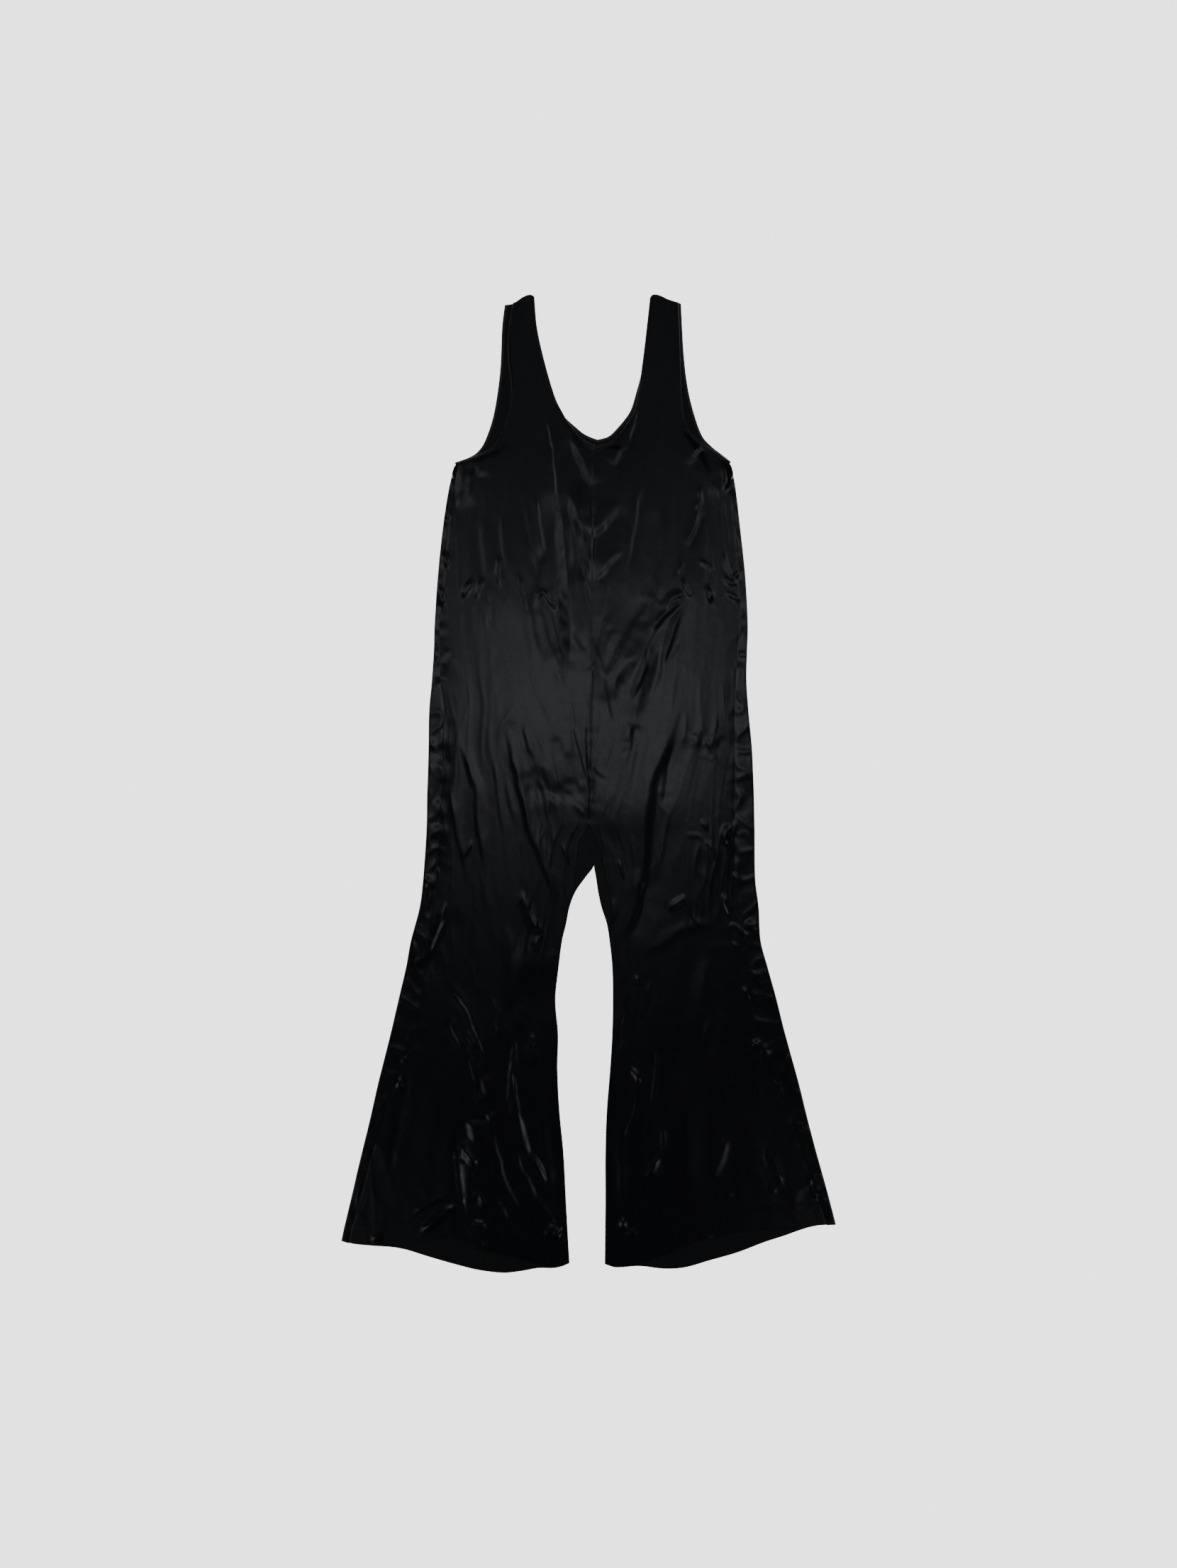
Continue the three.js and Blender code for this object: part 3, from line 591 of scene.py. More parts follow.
# Folds of the back, pressed nearly flat by the weight that lies on them. Same columns.
BACK_FOLDS = (
    (((-60, 480), (-52, 380), (-60, 280)), 14, 12, 0.9, 0.3),
    (((70, 470), (60, 380), (66, 300)), 12, 14, 0.9, 0.3),
    (((-150, 440), (-158, 360), (-150, 300)), 12, 12, 0.8, 0.3),
    (((150, 440), (160, 350), (150, 290)), 12, 12, 0.8, 0.3),
    (((-180, 290), (-120, 262), (-60, 270)), 10, 9, 0.8, 0.4),
    (((40, 268), (110, 256), (180, 282)), 9, 10, 0.8, 0.4),
    (((-170, 200), (-150, 120), (-160, 40)), 14, 14, 0.9, 0.2),
    (((160, 190), (150, 110), (156, 30)), 14, 14, 0.9, 0.2),
    (((-90, 120), (-60, 60), (-20, 20)), 10, 10, 0.8, 0.4),
    (((92, 120), (60, 60), (24, 20)), 10, 10, 0.8, 0.4),
    (((-30, -20), (-90, -50), (-150, -50)), 9, 9, 0.9, 0.5),
    (((34, -20), (96, -50), (156, -46)), 9, 9, 0.9, 0.5),
    (((-60, -140), (-130, -168), (-190, -160)), 9, 9, 0.8, 0.5),
    (((70, -150), (130, -176), (190, -166)), 9, 9, 0.8, 0.5),
    (((-210, -250), (-150, -270), (-90, -262)), 10, 10, 0.8, 0.4),
    (((210, -250), (150, -270), (90, -264)), 10, 10, 0.8, 0.4),
    (((-120, -340), (-130, -440), (-150, -560)), 18, 18, 0.9, 0.1),
    (((120, -340), (134, -440), (150, -560)), 18, 18, 0.9, 0.1),
    (((-220, -420), (-240, -520), (-270, -640)), 16, 16, 0.8, 0.1),
    (((220, -420), (240, -520), (262, -620)), 16, 16, 0.8, 0.1),
    (((-14, -62), (-20, -84), (-28, -108)), 3, 5, 0.9, 0.5),
    (((2, -62), (6, -78), (8, -96)), 4, 3, 0.8, 0.5),
    (((-70, -440), (-64, -540), (-60, -640)), 12, 12, 0.8, 0.2),
    (((56, -440), (54, -540), (56, -640)), 12, 12, 0.8, 0.2),
)


class JumpsuitCloth(bpy.types.PropertyGroup):
    """Sizes and colours of the cloth."""

    thickness: FloatProperty(
        name="Cloth thickness",
        description="Thickness of the satin shell",
        default=0.0005,
        min=0.0002,
        unit="LENGTH",
    )
    strap_rows: IntProperty(
        name="Strap rows", description="Rows of the mesh from the shoulder to the armpit", default=75
    )
    body_rows: IntProperty(
        name="Body rows", description="Rows of the mesh from the armpit to the crotch", default=150
    )
    leg_rows: IntProperty(
        name="Leg rows", description="Rows of the mesh from the crotch to the hem", default=170
    )
    front_columns: IntProperty(
        name="Front columns", description="Columns of the mesh across a front panel", default=122
    )
    back_columns: IntProperty(
        name="Back columns", description="Columns of the mesh across a back panel", default=44
    )
    crease_scale: FloatProperty(
        name="Crease scale",
        description="Height of the creases as a share of the measured ones",
        default=1.0,
        subtype="FACTOR",
    )
    unevenness: FloatProperty(
        name="Unevenness",
        description="Height of the fine creases between the larger ones",
        default=0.001,
        unit="LENGTH",
    )
    pucker: FloatProperty(
        name="Seam pucker", description="Height of the puckers beside the seams",
        default=0.0002, unit="LENGTH",
    )
    satin_colour: FloatVectorProperty(
        name="Satin colour", description="Colour of the face of the satin", default=(0.0031, 0.0041, 0.0064),
        size=3, subtype="COLOR",
    )
    inside_colour: FloatVectorProperty(
        name="Inside colour", description="Colour of the dull inside of the satin",
        default=(0.0047, 0.0051, 0.0062), size=3, subtype="COLOR",
    )
    satin_roughness: FloatProperty(
        name="Satin roughness", description="Roughness of the face", default=0.25, subtype="FACTOR"
    )


class JumpsuitSewing(bpy.types.PropertyGroup):
    """Sizes of the bindings and stitches."""

    binding_width: FloatProperty(
        name="Binding width", description="Width of the bias strips", default=0.0045, unit="LENGTH"
    )
    stitch_length: FloatProperty(
        name="Stitch length", description="Length of thread that shows in a stitch",
        default=0.0024, unit="LENGTH",
    )
    stitch_pitch: FloatProperty(
        name="Stitch pitch", description="Distance from one stitch to the next", default=0.003, unit="LENGTH"
    )
    # The back bindings are black satin. Their grey colour is a painted highlight that stands in for the
    # light line their rolled edges reflect.
    binding_painted_highlight_colour: FloatVectorProperty(
        name="Binding colour", description="Colour of the bindings of the back, whose inner side shows",
        default=(0.06, 0.061, 0.065), size=3, subtype="COLOR",
    )
    thread_radius: FloatProperty(
        name="Thread radius", description="Half the thickness of the thread", default=0.00022, unit="LENGTH"
    )
    # The thread is lighter than the cloth partly by its own colour and partly as a painted highlight of the
    # stitched lines.
    thread_and_highlight_colour: FloatVectorProperty(
        name="Thread colour", description="Colour of the sewing thread", default=(0.06, 0.06, 0.065),
        size=3, subtype="COLOR",
    )


class JumpsuitStudio(bpy.types.PropertyGroup):
    """Floor, lights and camera."""

    floor_colour: FloatVectorProperty(
        name="Floor colour", description="Colour of the plain floor", default=(0.72, 0.72, 0.73),
        size=3, subtype="COLOR",
    )
    view_height: FloatProperty(
        name="View height",
        description="Length of the floor that the picture takes in",
        default=2.3226,
        unit="LENGTH",
    )
    lens: FloatProperty(name="Lens", description="Focal length in millimetres", default=50.0)
    top_power: FloatProperty(
        name="Top light", description="Power of the large softbox above the hips", default=2.7, unit="POWER"
    )


def smooth(lines, column, at):
    """One column of a table as a smooth curve through its rows."""
    across, values = lines["across"], lines[column]
    index = np.arange(len(across))
    before = np.maximum(index - 1, 0)
    after = np.minimum(index + 1, len(across) - 1)
    slopes = (values[after] - values[before]) / (across[after] - across[before])
    at = np.clip(at, across[0], across[-1])
    low = np.clip(np.searchsorted(across, at) - 1, 0, len(across) - 2)
    span = across[low + 1] - across[low]
    t = (at - across[low]) / span
    start = (1 + 2 * t) * (1 - t) ** 2 * values[low] + t * (1 - t) ** 2 * span * slopes[low]
    end = t * t * (3 - 2 * t) * values[low + 1] + t * t * (t - 1) * span * slopes[low + 1]
    return start + end


def smoothstep(value, low, high):
    """A soft step from 0 at low to 1 at high."""
    t = np.clip((value - low) / (high - low), 0, 1)
    return t * t * (3 - 2 * t)


def resampled(points, count):
    """The same line with count + 1 points, evenly spaced along it."""
    steps = np.linalg.norm(np.diff(points, axis=0), axis=1)
    along = np.concatenate([[0], np.cumsum(steps)])
    at = np.linspace(0, along[-1], count + 1)
    return np.stack([np.interp(at, along, points[:, k]) for k in range(points.shape[1])], axis=1)


def spline(points, count):
    """Evenly spaced points along a smooth curve through the given points."""
    given = np.array(points, float)
    padded = np.vstack([given[:1], given, given[-1:]])
    t = np.linspace(0, 1, 24, endpoint=False)[:, None]
    pieces = []
    for i in range(len(given) - 1):
        p0, p1, p2, p3 = padded[i : i + 4]
        slope1, slope2 = (p2 - p0) / 2, (p3 - p1) / 2
        cubic = (2 * p1 - 2 * p2 + slope1 + slope2) * t**3
        square = (-3 * p1 + 3 * p2 - 2 * slope1 - slope2) * t**2
        pieces.append(cubic + square + slope1 * t + p1)
    return resampled(np.vstack([*pieces, given[-1:]]), count)


def moved_in(points, distance, side):
    """A line on the plan moved sideways, to its left where side is 1 and to its right where it is -1."""
    along = np.gradient(points, axis=0)
    along /= np.linalg.norm(along, axis=1)[:, None]
    return points + side * distance * np.stack([-along[:, 1], along[:, 0]], axis=1)


def soft_noise(x, y, size_x, size_y, seed):
    """Soft random heights over the plan, mostly between -1 and 1, with lumps of about that size."""
    angles = np.random.default_rng(seed).uniform(0, 2 * math.pi, (NOISE_CELLS, NOISE_CELLS))
    gx, gy = x / size_x + 37.3, y / size_y + 51.7
    ix, iy = np.floor(gx).astype(int), np.floor(gy).astype(int)
    tx, ty = gx - ix, gy - iy

    def corner(i, j):
        angle = angles[(ix + i) % NOISE_CELLS, (iy + j) % NOISE_CELLS]
        return np.cos(angle) * (tx - i) + np.sin(angle) * (ty - j)

    sx, sy = (t**3 * (t * (6 * t - 15) + 10) for t in (tx, ty))
    low = corner(0, 0) * (1 - sx) + corner(1, 0) * sx
    high = corner(0, 1) * (1 - sx) + corner(1, 1) * sx
    return 1.6 * (low * (1 - sy) + high * sy)


def ridges(value, width):
    """1 on the lines where a noise passes through 0, falling off sharply beside them."""
    return np.exp(-(np.sqrt(value**2 + (0.25 * width) ** 2) - 0.25 * width) / width)


def crumpled_strength(x, y):
    """How strongly the front is crumpled at points of the plan."""
    strength = np.zeros(np.shape(x))
    for middle_x, middle_y, half_width, half_length, power in CRUMPLED:
        reach = ((x - middle_x) / half_width) ** 2 + ((y - middle_y) / half_length) ** 2
        strength = np.maximum(strength, power * np.exp(-(reach**1.5)))
    return strength


def streaks(x, y, u, width, side, cloth):
    """Fine creases that run down the cloth, lean in towards the crotch and fan out to the hem."""

    def field(name, a, b):
        size_a, size_b, number = STREAKS[name]
        return soft_noise(a, b, size_a, size_b, STREAK_SEEDS[side] + number)

    lean = smooth(LEAN, "shift", y) * (1 - 0.6 * u)
    across = 230 * u - lean + 12 * field("drift", x, y)
    middle = field("middle", across, y)
    where_crisp = smoothstep(field("crisp", x, y), -0.35, 0.45)
    where_strong = smoothstep(field("strong", x, y), 0.25, 0.75)
    height = 0.42 * field("broad", across, y)
    height = height + 0.3 * ridges(middle, 0.16) * where_crisp * (1 + 1.6 * where_strong)
    height += 0.24 * middle + 0.075 * field("fine", across, y)
    lines = ridges(field("lines", across, y), 0.1) * where_crisp
    lines = lines + 0.7 * ridges(field("long_lines", across, y), 0.07)
    height += 0.3 * lines * smooth(LEAN, "lines", y)
    height += 0.22 * ridges(field("crossing", x + 0.5 * y, y), 0.15) * (0.3 + where_strong)
    facets = ridges(field("facets", x, 0.7 * y), 0.26) + 0.4 * field("grit", x, y)
    height += 0.6 * crumpled_strength(x, y) * (facets - 0.4)
    return height * smooth(LEAN, "crumpled", y) * np.clip(width / 200, 0.25, 1) * cloth.unevenness / MM


def warped(x, y):
    """Places on the plan moved a little at random, so that no fold runs like a drawn line."""
    return (
        x + 1.7 * soft_noise(x, y, 20, 30, 61) + 0.7 * soft_noise(x, y, 8, 11, 62),
        y + 2.2 * soft_noise(x, y, 22, 26, 63),
    )


def measured_along(x, y, line, reach):
    """The points near a line: which they are, their distance to its left and how far along they lie."""
    points = spline(line, 5 * (len(line) - 1))
    low, high = points.min(axis=0) - reach, points.max(axis=0) + reach
    near = (x > low[0]) & (x < high[0]) & (y > low[1]) & (y < high[1])
    px, py = x[near], y[near]
    best = np.full(px.shape, np.inf)
    along = np.zeros(px.shape)
    side = np.zeros(px.shape)
    steps = np.diff(points, axis=0)
    lengths = np.linalg.norm(steps, axis=1)
    passed = 0.0
    for start, step, length in zip(points, steps, lengths):
        dx, dy = px - start[0], py - start[1]
        t = np.clip((dx * step[0] + dy * step[1]) / length**2, 0, 1)
        distance = np.hypot(dx - t * step[0], dy - t * step[1])
        closer = distance < best
        best = np.where(closer, distance, best)
        along = np.where(closer, passed + t * length, along)
        side = np.where(closer, step[0] * dy - step[1] * dx, side)
        passed += length
    return near, np.where(side > 0, best, -best), along / passed


def fold_heights(x, y, folds):
    """Height that a table of folds adds at points of the plan, each fold fading out at its ends."""
    height = np.zeros(np.shape(x))
    x, y = warped(x, y)
    for line, width_left, width_right, rise, crisp in folds:
        near, to_left, along = measured_along(x, y, line, 2.4 * max(width_left, width_right))
        lens = 0.6 + 0.4 * np.sin(math.pi * along)
        scaled = np.abs(to_left) / (np.where(to_left > 0, width_left, width_right) * lens)
        round_top = np.exp(-((scaled / 0.75) ** 2))
        slope = 1 - np.sqrt(scaled**2 + 0.012)
        flat_sides = 0.5 * (slope + np.sqrt(slope**2 + 0.004))
        ends = smoothstep(np.minimum(along, 1 - along), -0.02, 0.36 - 0.18 * crisp)
        height[near] += rise * ends * (round_top * (1 - crisp) + flat_sides * crisp)
    return height


def kink_heights(x, y, kinks):
    """Height that a table of kinks adds: one steep face each, with long gentle slopes beside it."""
    height = np.zeros(np.shape(x))
    x, y = warped(x, y)
    for line, half_width, rise in kinks:
        near, to_left, along = measured_along(x, y, line, 9 * half_width)
        ends = smoothstep(np.minimum(along, 1 - along), -0.04, 0.24)
        lens = half_width * (0.55 + 0.45 * ends)
        across = to_left / lens
        ramp = 0.5 * (np.sqrt((across + 1) ** 2 + 0.05) - np.sqrt((across - 1) ** 2 + 0.05))
        height[near] += rise * ends * ramp * np.exp(-((to_left / (3.6 * half_width)) ** 2))
    return height


def pucker(along, distance, seed):
    """Puckers beside a seam, about from -1 to 1, uneven along it and gone about 15 mm away."""
    close = soft_noise(along, 0.5 * distance, 7.5, 9, seed) * np.exp(-np.abs(distance) / 6)
    wide = soft_noise(along, 0.3 * distance, 19, 14, seed + 5) * np.exp(-np.abs(distance) / 13)
    strength = smoothstep(soft_noise(along, along * 0, 50, 50, seed + 9), -0.5, 0.5)
    return (0.9 * close + 1.2 * wide) * (0.35 + strength)


def seam_groove(distance):
    """The groove of a pressed seam, from 0 to 1."""
    return np.exp(-((distance / 1.6) ** 2))


def front_form(y, u, width):
    """Loft and crown of the front above the back, before its folds."""
    inner = INSEAM_LOFT + (CENTRE_LOFT - INSEAM_LOFT) * smoothstep(y, -150, -40)
    crown = CROWN * np.sin(math.pi * u) * np.minimum(1, width / CROWN_WIDTH)
    return inner + (SIDE_LOFT - inner) * u + crown


def front_height(x, y, form, cloth):
    """Height of the face of the front at points of the plan, from its form there."""
    creases = fold_heights(x, y, FRONT_FOLDS) + kink_heights(x, y, FRONT_KINKS)
    height = form + creases * cloth.crease_scale
    height = LOWEST_CREASE + np.logaddexp(0, CREASE_STOP * (height - LOWEST_CREASE)) / CREASE_STOP
    centre = np.abs(x - smooth(CENTRE, "front", y))
    on_centre = smoothstep(y, FRONT_CROTCH_Y - 8, FRONT_CROTCH_Y + 4)
    groove = CENTRE_SEAM_DEPTH * seam_groove(centre) * on_centre
    height += pucker(y, centre, 11) * cloth.pucker / MM * on_centre - groove
    return FRONT_TOP + height


def blurred_rows(values, spread):
    """Values smoothed down the columns of a grid."""
    reach = np.arange(-3 * spread, 3 * spread + 1)
    weights = np.exp(-((reach / spread) ** 2))
    weights /= weights.sum()
    padded = np.pad(values, ((len(reach) // 2, len(reach) // 2), (0, 0)), mode="edge")
    return sum(w * padded[i : i + len(values)] for i, w in enumerate(weights))


def side_seam_relief(y, distance, side, cloth):
    """Puckers and groove along a side seam."""
    seed, pitch, roll = SEAM_PUCKERS[side]
    patches = smoothstep(soft_noise(y, 0.3 * distance, 22, 30, seed + 7), -0.45, 0.25)
    patches = patches * smoothstep(y, -190, -90) * smoothstep(-y, -290, -220)
    rolled_under = roll * patches * np.exp(-((distance / 10) ** 2))
    below = smoothstep(-y, -ARMPIT_Y, -ARMPIT_Y + 30)
    relief = 0.85 * pucker(pitch * y, distance, seed) * cloth.pucker / MM
    return (relief - SIDE_SEAM_DEPTH * seam_groove(distance) - rolled_under) * below


def panel_edges(side, layer, cloth):
    """Inner and outer edge of a panel on the plan, a point a row."""
    out = OUT[side]
    rows = cloth.strap_rows
    neck = moved_in(spline(EDGES[side, "neck", layer], rows), PANEL_INSET, out)[:-1]
    armhole = moved_in(spline(EDGES[side, "armhole", layer], rows), PANEL_INSET, -out)[:-1]
    share = np.concatenate(
        [
            np.linspace(0, 1, cloth.body_rows, endpoint=False),
            np.linspace(1, 2, cloth.leg_rows + 1),
        ]
    )
    hem_inner, hem_outer = HEM_ENDS[side]
    inner_y = np.interp(share, (0, 1, 2), (NECK_Y[layer] - PANEL_INSET, CROTCH_Y[layer], hem_inner))
    outer_y = np.interp(share, (0, 1, 2), (ARMPIT_Y, FRONT_CROTCH_Y, hem_outer))
    above = inner_y >= CROTCH_Y[layer]
    inner_x = np.where(above, smooth(CENTRE, layer, inner_y), smooth(INSEAMS, f"{side}_{layer}", inner_y))
    outline = "seam" if layer == "front" else "edge"
    outer_x = smooth(SIDES, f"{side}_{outline}", outer_y)
    inner = np.vstack([neck, np.stack([inner_x, inner_y], axis=1)])
    outer = np.vstack([armhole, np.stack([outer_x, outer_y], axis=1)])
    return inner, outer


def end_shift(x, u, inner, outer, side, layer, cloth):
    """How far rows near the shoulder and the hem move to follow their curved ends."""
    rows = np.arange(len(inner))[:, None]
    shoulder_share = np.clip(1 - rows / (SHOULDER_SHARE * cloth.strap_rows), 0, 1)
    hem_share = np.clip(1 - (rows[-1] - rows) / (HEM_SHARE * cloth.leg_rows), 0, 1)
    first = inner[0, 1] + (outer[0, 1] - inner[0, 1]) * u
    last = inner[-1, 1] + (outer[-1, 1] - inner[-1, 1]) * u
    at_shoulder = smooth(SHOULDERS[side], "y", x) - first
    at_hem = smooth(HEMS[side], layer, x) - last
    return shoulder_share * at_shoulder + hem_share * at_hem


def denser_ends(count):
    """Numbers from 0 to 1 that lie closer together near both ends."""
    s = np.linspace(0, 1, count + 1)
    return (1 - EVEN_SHARE) * (1 - np.cos(math.pi * s)) / 2 + EVEN_SHARE * s


def shell(name, face, inside, face_material, inside_material):
    """A closed cloth shell from two grids of points in millimetres, face out and inside in."""
    rows, columns = face.shape[:2]
    points = np.concatenate([face.reshape(-1, 3), inside.reshape(-1, 3)]) * MM
    number = np.arange(rows * columns).reshape(rows, columns)
    back = number + rows * columns

    def quads(a, b, c, d):
        return np.stack([a, b, c, d], axis=-1).reshape(-1, 4)

    face_quads = quads(number[:-1, :-1], number[1:, :-1], number[1:, 1:], number[:-1, 1:])
    inside_quads = quads(back[:-1, :-1], back[:-1, 1:], back[1:, 1:], back[1:, :-1])
    rims = [
        quads(number[:-1, 0], back[:-1, 0], back[1:, 0], number[1:, 0]),
        quads(number[1:, -1], back[1:, -1], back[:-1, -1], number[:-1, -1]),
        quads(number[0, 1:], back[0, 1:], back[0, :-1], number[0, :-1]),
        quads(number[-1, :-1], back[-1, :-1], back[-1, 1:], number[-1, 1:]),
    ]
    faces = np.concatenate([face_quads, inside_quads, *rims])
    corners = points[faces]
    cross = np.cross(corners[:, 1] - corners[:, 0], corners[:, 2] - corners[:, 0])
    if (corners[:, 0] * cross).sum() < 0:
        faces = faces[:, ::-1]
    mesh = bpy.data.meshes.new(name)
    mesh.vertices.add(len(points))
    mesh.vertices.foreach_set("co", points.ravel())
    mesh.loops.add(faces.size)
    mesh.loops.foreach_set("vertex_index", faces.ravel())
    mesh.polygons.add(len(faces))
    mesh.polygons.foreach_set("loop_start", np.arange(0, faces.size, 4))
    mesh.polygons.foreach_set("loop_total", np.full(len(faces), 4))
    mesh.polygons.foreach_set("use_smooth", np.ones(len(faces), bool))
    is_inside = np.zeros(len(faces), int)
    is_inside[len(face_quads) : len(face_quads) + len(inside_quads)] = 1
    mesh.polygons.foreach_set("material_index", is_inside)
    mesh.update(calc_edges=True)
    mesh.set_sharp_from_angle(angle=math.radians(50))
    across = np.concatenate(
        [np.zeros((rows, 1)), np.cumsum(np.linalg.norm(np.diff(face, axis=1), axis=2), axis=1)], axis=1
    )
    grain = np.stack([across, face[..., 1]], axis=-1).reshape(-1, 2) * MM
    uv = mesh.uv_layers.new(name="cloth")
    uv.data.foreach_set("uv", grain[faces.ravel() % (rows * columns)].ravel())
    mesh.materials.append(face_material)
    mesh.materials.append(inside_material)
    piece = bpy.data.objects.new(name, mesh)
    bpy.context.scene.collection.objects.link(piece)
    return piece


def set_inputs(node, values):
    """Gives a node's inputs their values by name."""
    for name, value in values.items():
        node.inputs[name].default_value = value


def new_finish(name, colour, values):
    """A node material of one colour, with its shader's values set: its tree, shader and coordinates."""
    finish = bpy.data.materials.new(name)
    finish.use_nodes = True
    tree = finish.node_tree
    tree.nodes.clear()
    output = tree.nodes.new("ShaderNodeOutputMaterial")
    shader = tree.nodes.new("ShaderNodeBsdfPrincipled")
    place = tree.nodes.new("ShaderNodeTexCoord")
    tree.links.new(shader.outputs["BSDF"], output.inputs["Surface"])
    set_inputs(shader, {"Base Color": (*colour, 1), **values})
    return finish, shader, place


def noise(tree, vector, scale, detail):
    """A noise texture on the given coordinates."""
    texture = tree.nodes.new("ShaderNodeTexNoise")
    set_inputs(texture, {"Scale": scale, "Detail": detail})
    tree.links.new(vector, texture.inputs["Vector"])
    return texture.outputs["Fac"]


def ranged(tree, value, low, high):
    """A number from 0 to 1 mapped on to a range."""
    node = tree.nodes.new("ShaderNodeMapRange")
    set_inputs(node, {"To Min": low, "To Max": high})
    tree.links.new(value, node.inputs["Value"])
    return node.outputs["Result"]


def bump(tree, height, distance, strength):
    """A bump node that reads a height, and is that many metres deep."""
    node = tree.nodes.new("ShaderNodeBump")
    set_inputs(node, {"Distance": distance, "Strength": strength})
    tree.links.new(height, node.inputs["Height"])
    return node


def satin_face(name, colour, roughness):
    """The glossy face: nearly black, with long floats along the grain and a fine weave in relief."""
    values = {"Specular IOR Level": 0.5, "Anisotropic": 0.4, "Sheen Weight": 0.03, "Sheen Roughness": 0.4}
    finish, shader, place = new_finish(name, colour, values)
    tree = finish.node_tree
    across = tree.nodes.new("ShaderNodeTangent")
    across.direction_type = "UV_MAP"
    across.uv_map = "cloth"
    tree.links.new(across.outputs["Tangent"], shader.inputs["Tangent"])
    grain = tree.nodes.new("ShaderNodeMapping")
    set_inputs(grain, {"Scale": (1.0, 0.12, 1.0)})
    tree.links.new(place.outputs["UV"], grain.inputs["Vector"])
    floats = noise(tree, grain.outputs["Vector"], 900, 2.0)
    gloss = ranged(tree, floats, roughness - 0.03, roughness + 0.03)
    tree.links.new(gloss, shader.inputs["Roughness"])
    weave = tree.nodes.new("ShaderNodeTexVoronoi")
    set_inputs(weave, {"Scale": 2600})
    tree.links.new(grain.outputs["Vector"], weave.inputs["Vector"])
    relief = bump(tree, weave.outputs["Distance"], 0.00003, 0.35)
    ripple = bump(tree, noise(tree, place.outputs["Object"], 160, 3.0), 0.00012, 0.25)
    tree.links.new(relief.outputs["Normal"], ripple.inputs["Normal"])
    tree.links.new(ripple.outputs["Normal"], shader.inputs["Normal"])
    return finish


def satin_inside(name, colour):
    """The dull inside of the satin, with the ends of its threads."""
    finish, shader, place = new_finish(name, colour, {"Specular IOR Level": 0.4, "Sheen Weight": 0.04})
    tree = finish.node_tree
    fuzz = noise(tree, place.outputs["Object"], 1400, 2.0)
    tree.links.new(ranged(tree, fuzz, 0.42, 0.58), shader.inputs["Roughness"])
    relief = bump(tree, fuzz, 0.00005, 0.4)
    tree.links.new(relief.outputs["Normal"], shader.inputs["Normal"])
    return finish


def thread_finish(name, colour):
    """Spun polyester thread, lighter than the cloth: partly its own colour and partly a painted highlight of
    the stitched lines.
    """
    finish, shader, place = new_finish(name, colour, {})
    tree = finish.node_tree
    twist = noise(tree, place.outputs["Object"], 2500, 1.0)
    tree.links.new(ranged(tree, twist, 0.35, 0.5), shader.inputs["Roughness"])
    return finish


def floor_finish(name, colour):
    """A plain pale floor that is lit evenly, as by a lamp under a frosted sheet."""
    glow = {"Emission Color": (*colour, 1), "Emission Strength": 3.7}
    return new_finish(name, colour, {"Roughness": 0.9, "Specular IOR Level": 0.1, **glow})[0]


def named_finish(name, make, *values):
    """The material of that name, made the first time it is asked for."""
    return bpy.data.materials.get(name) or make(name, *values)


def cloth_materials(cloth):
    """Face and inside of the satin."""
    face = named_finish("satin_face", satin_face, tuple(cloth.satin_colour), cloth.satin_roughness)
    inside = named_finish("satin_inside", satin_inside, tuple(cloth.inside_colour))
    return face, inside


def finish_piece(piece, slot, *nodes):
    """Puts a piece on the garment's body in place of its solids."""
    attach(piece, BODY)
    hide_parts(*nodes)


def hem_step(x, y, side):
    """1 on the doubled cloth of the front hem, 0 above its stitches, with a soft step between."""
    depth = y - smooth(HEMS[side], "front", x)
    return smoothstep(-depth, -HEM_STITCH_DEPTH - 1.5, -HEM_STITCH_DEPTH + 0.5)


def front_grid(side, cloth):
    """Face of a front panel as a grid of points."""
    inner, outer = panel_edges(side, "front", cloth)
    u = denser_ends(cloth.front_columns)[None, :]
    plan = inner[:, None, :] * (1 - u[..., None]) + outer[:, None, :] * u[..., None]
    x = plan[..., 0]
    y = plan[..., 1] + end_shift(x, u, inner, outer, side, "front", cloth)
    width = np.linalg.norm(outer - inner, axis=1)[:, None]
    form = blurred_rows(front_form(y, u, width), 12) + streaks(x, y, u, width, side, cloth)
    z = front_height(x, y, form, cloth)
    z = z + side_seam_relief(y, x - smooth(SIDES, f"{side}_seam", y), side, cloth)
    z = z + HEM_THICKNESS * hem_step(x, y, side)
    depth = y - smooth(HEMS[side], "front", x)
    z = z - HEM_DENT * np.exp(-(((depth - HEM_STITCH_DEPTH) / HEM_DENT_WIDTH) ** 2))
    return np.stack([x, y, z], axis=-1)


class JUMPSUIT_OT_fronts(bpy.types.Operator):
    """Make the two front panels"""

    bl_idname = "jumpsuit.fronts"
    bl_label = "Front panels"

    def execute(self, context):
        cloth = context.scene.jumpsuit_cloth
        for side in OUT:
            face = front_grid(side, cloth)
            inside = face - np.array((0, 0, cloth.thickness / MM))
            piece = shell(f"satin_front_{side}", face, inside, *cloth_materials(cloth))
            finish_piece(piece, "satin", f"front_{side}")
        return {"FINISHED"}


def turned_rows(side, cloth, seam, edge):
    """The turned side of the back, a column at a time: where it lies outwards and how high."""
    turned = np.clip((ARMPIT_Y - edge[:, 1]) / TURN_DEPTH, 0, 1)
    turned[: cloth.strap_rows] = 0
    seam_height = front_height(seam[:, 0], seam[:, 1], SIDE_LOFT, cloth)
    seam_height = np.where(turned > 0, seam_height, FRONT_TOP + SIDE_LOFT)
    outer_radius = seam_height / 2
    inset = np.abs(edge[:, 0] - seam[:, 0]) - outer_radius
    flap = np.where(turned > 0, inset, STRAP_FLAP)
    return turned * math.pi, outer_radius, np.maximum(flap, LEAST_FLAP)


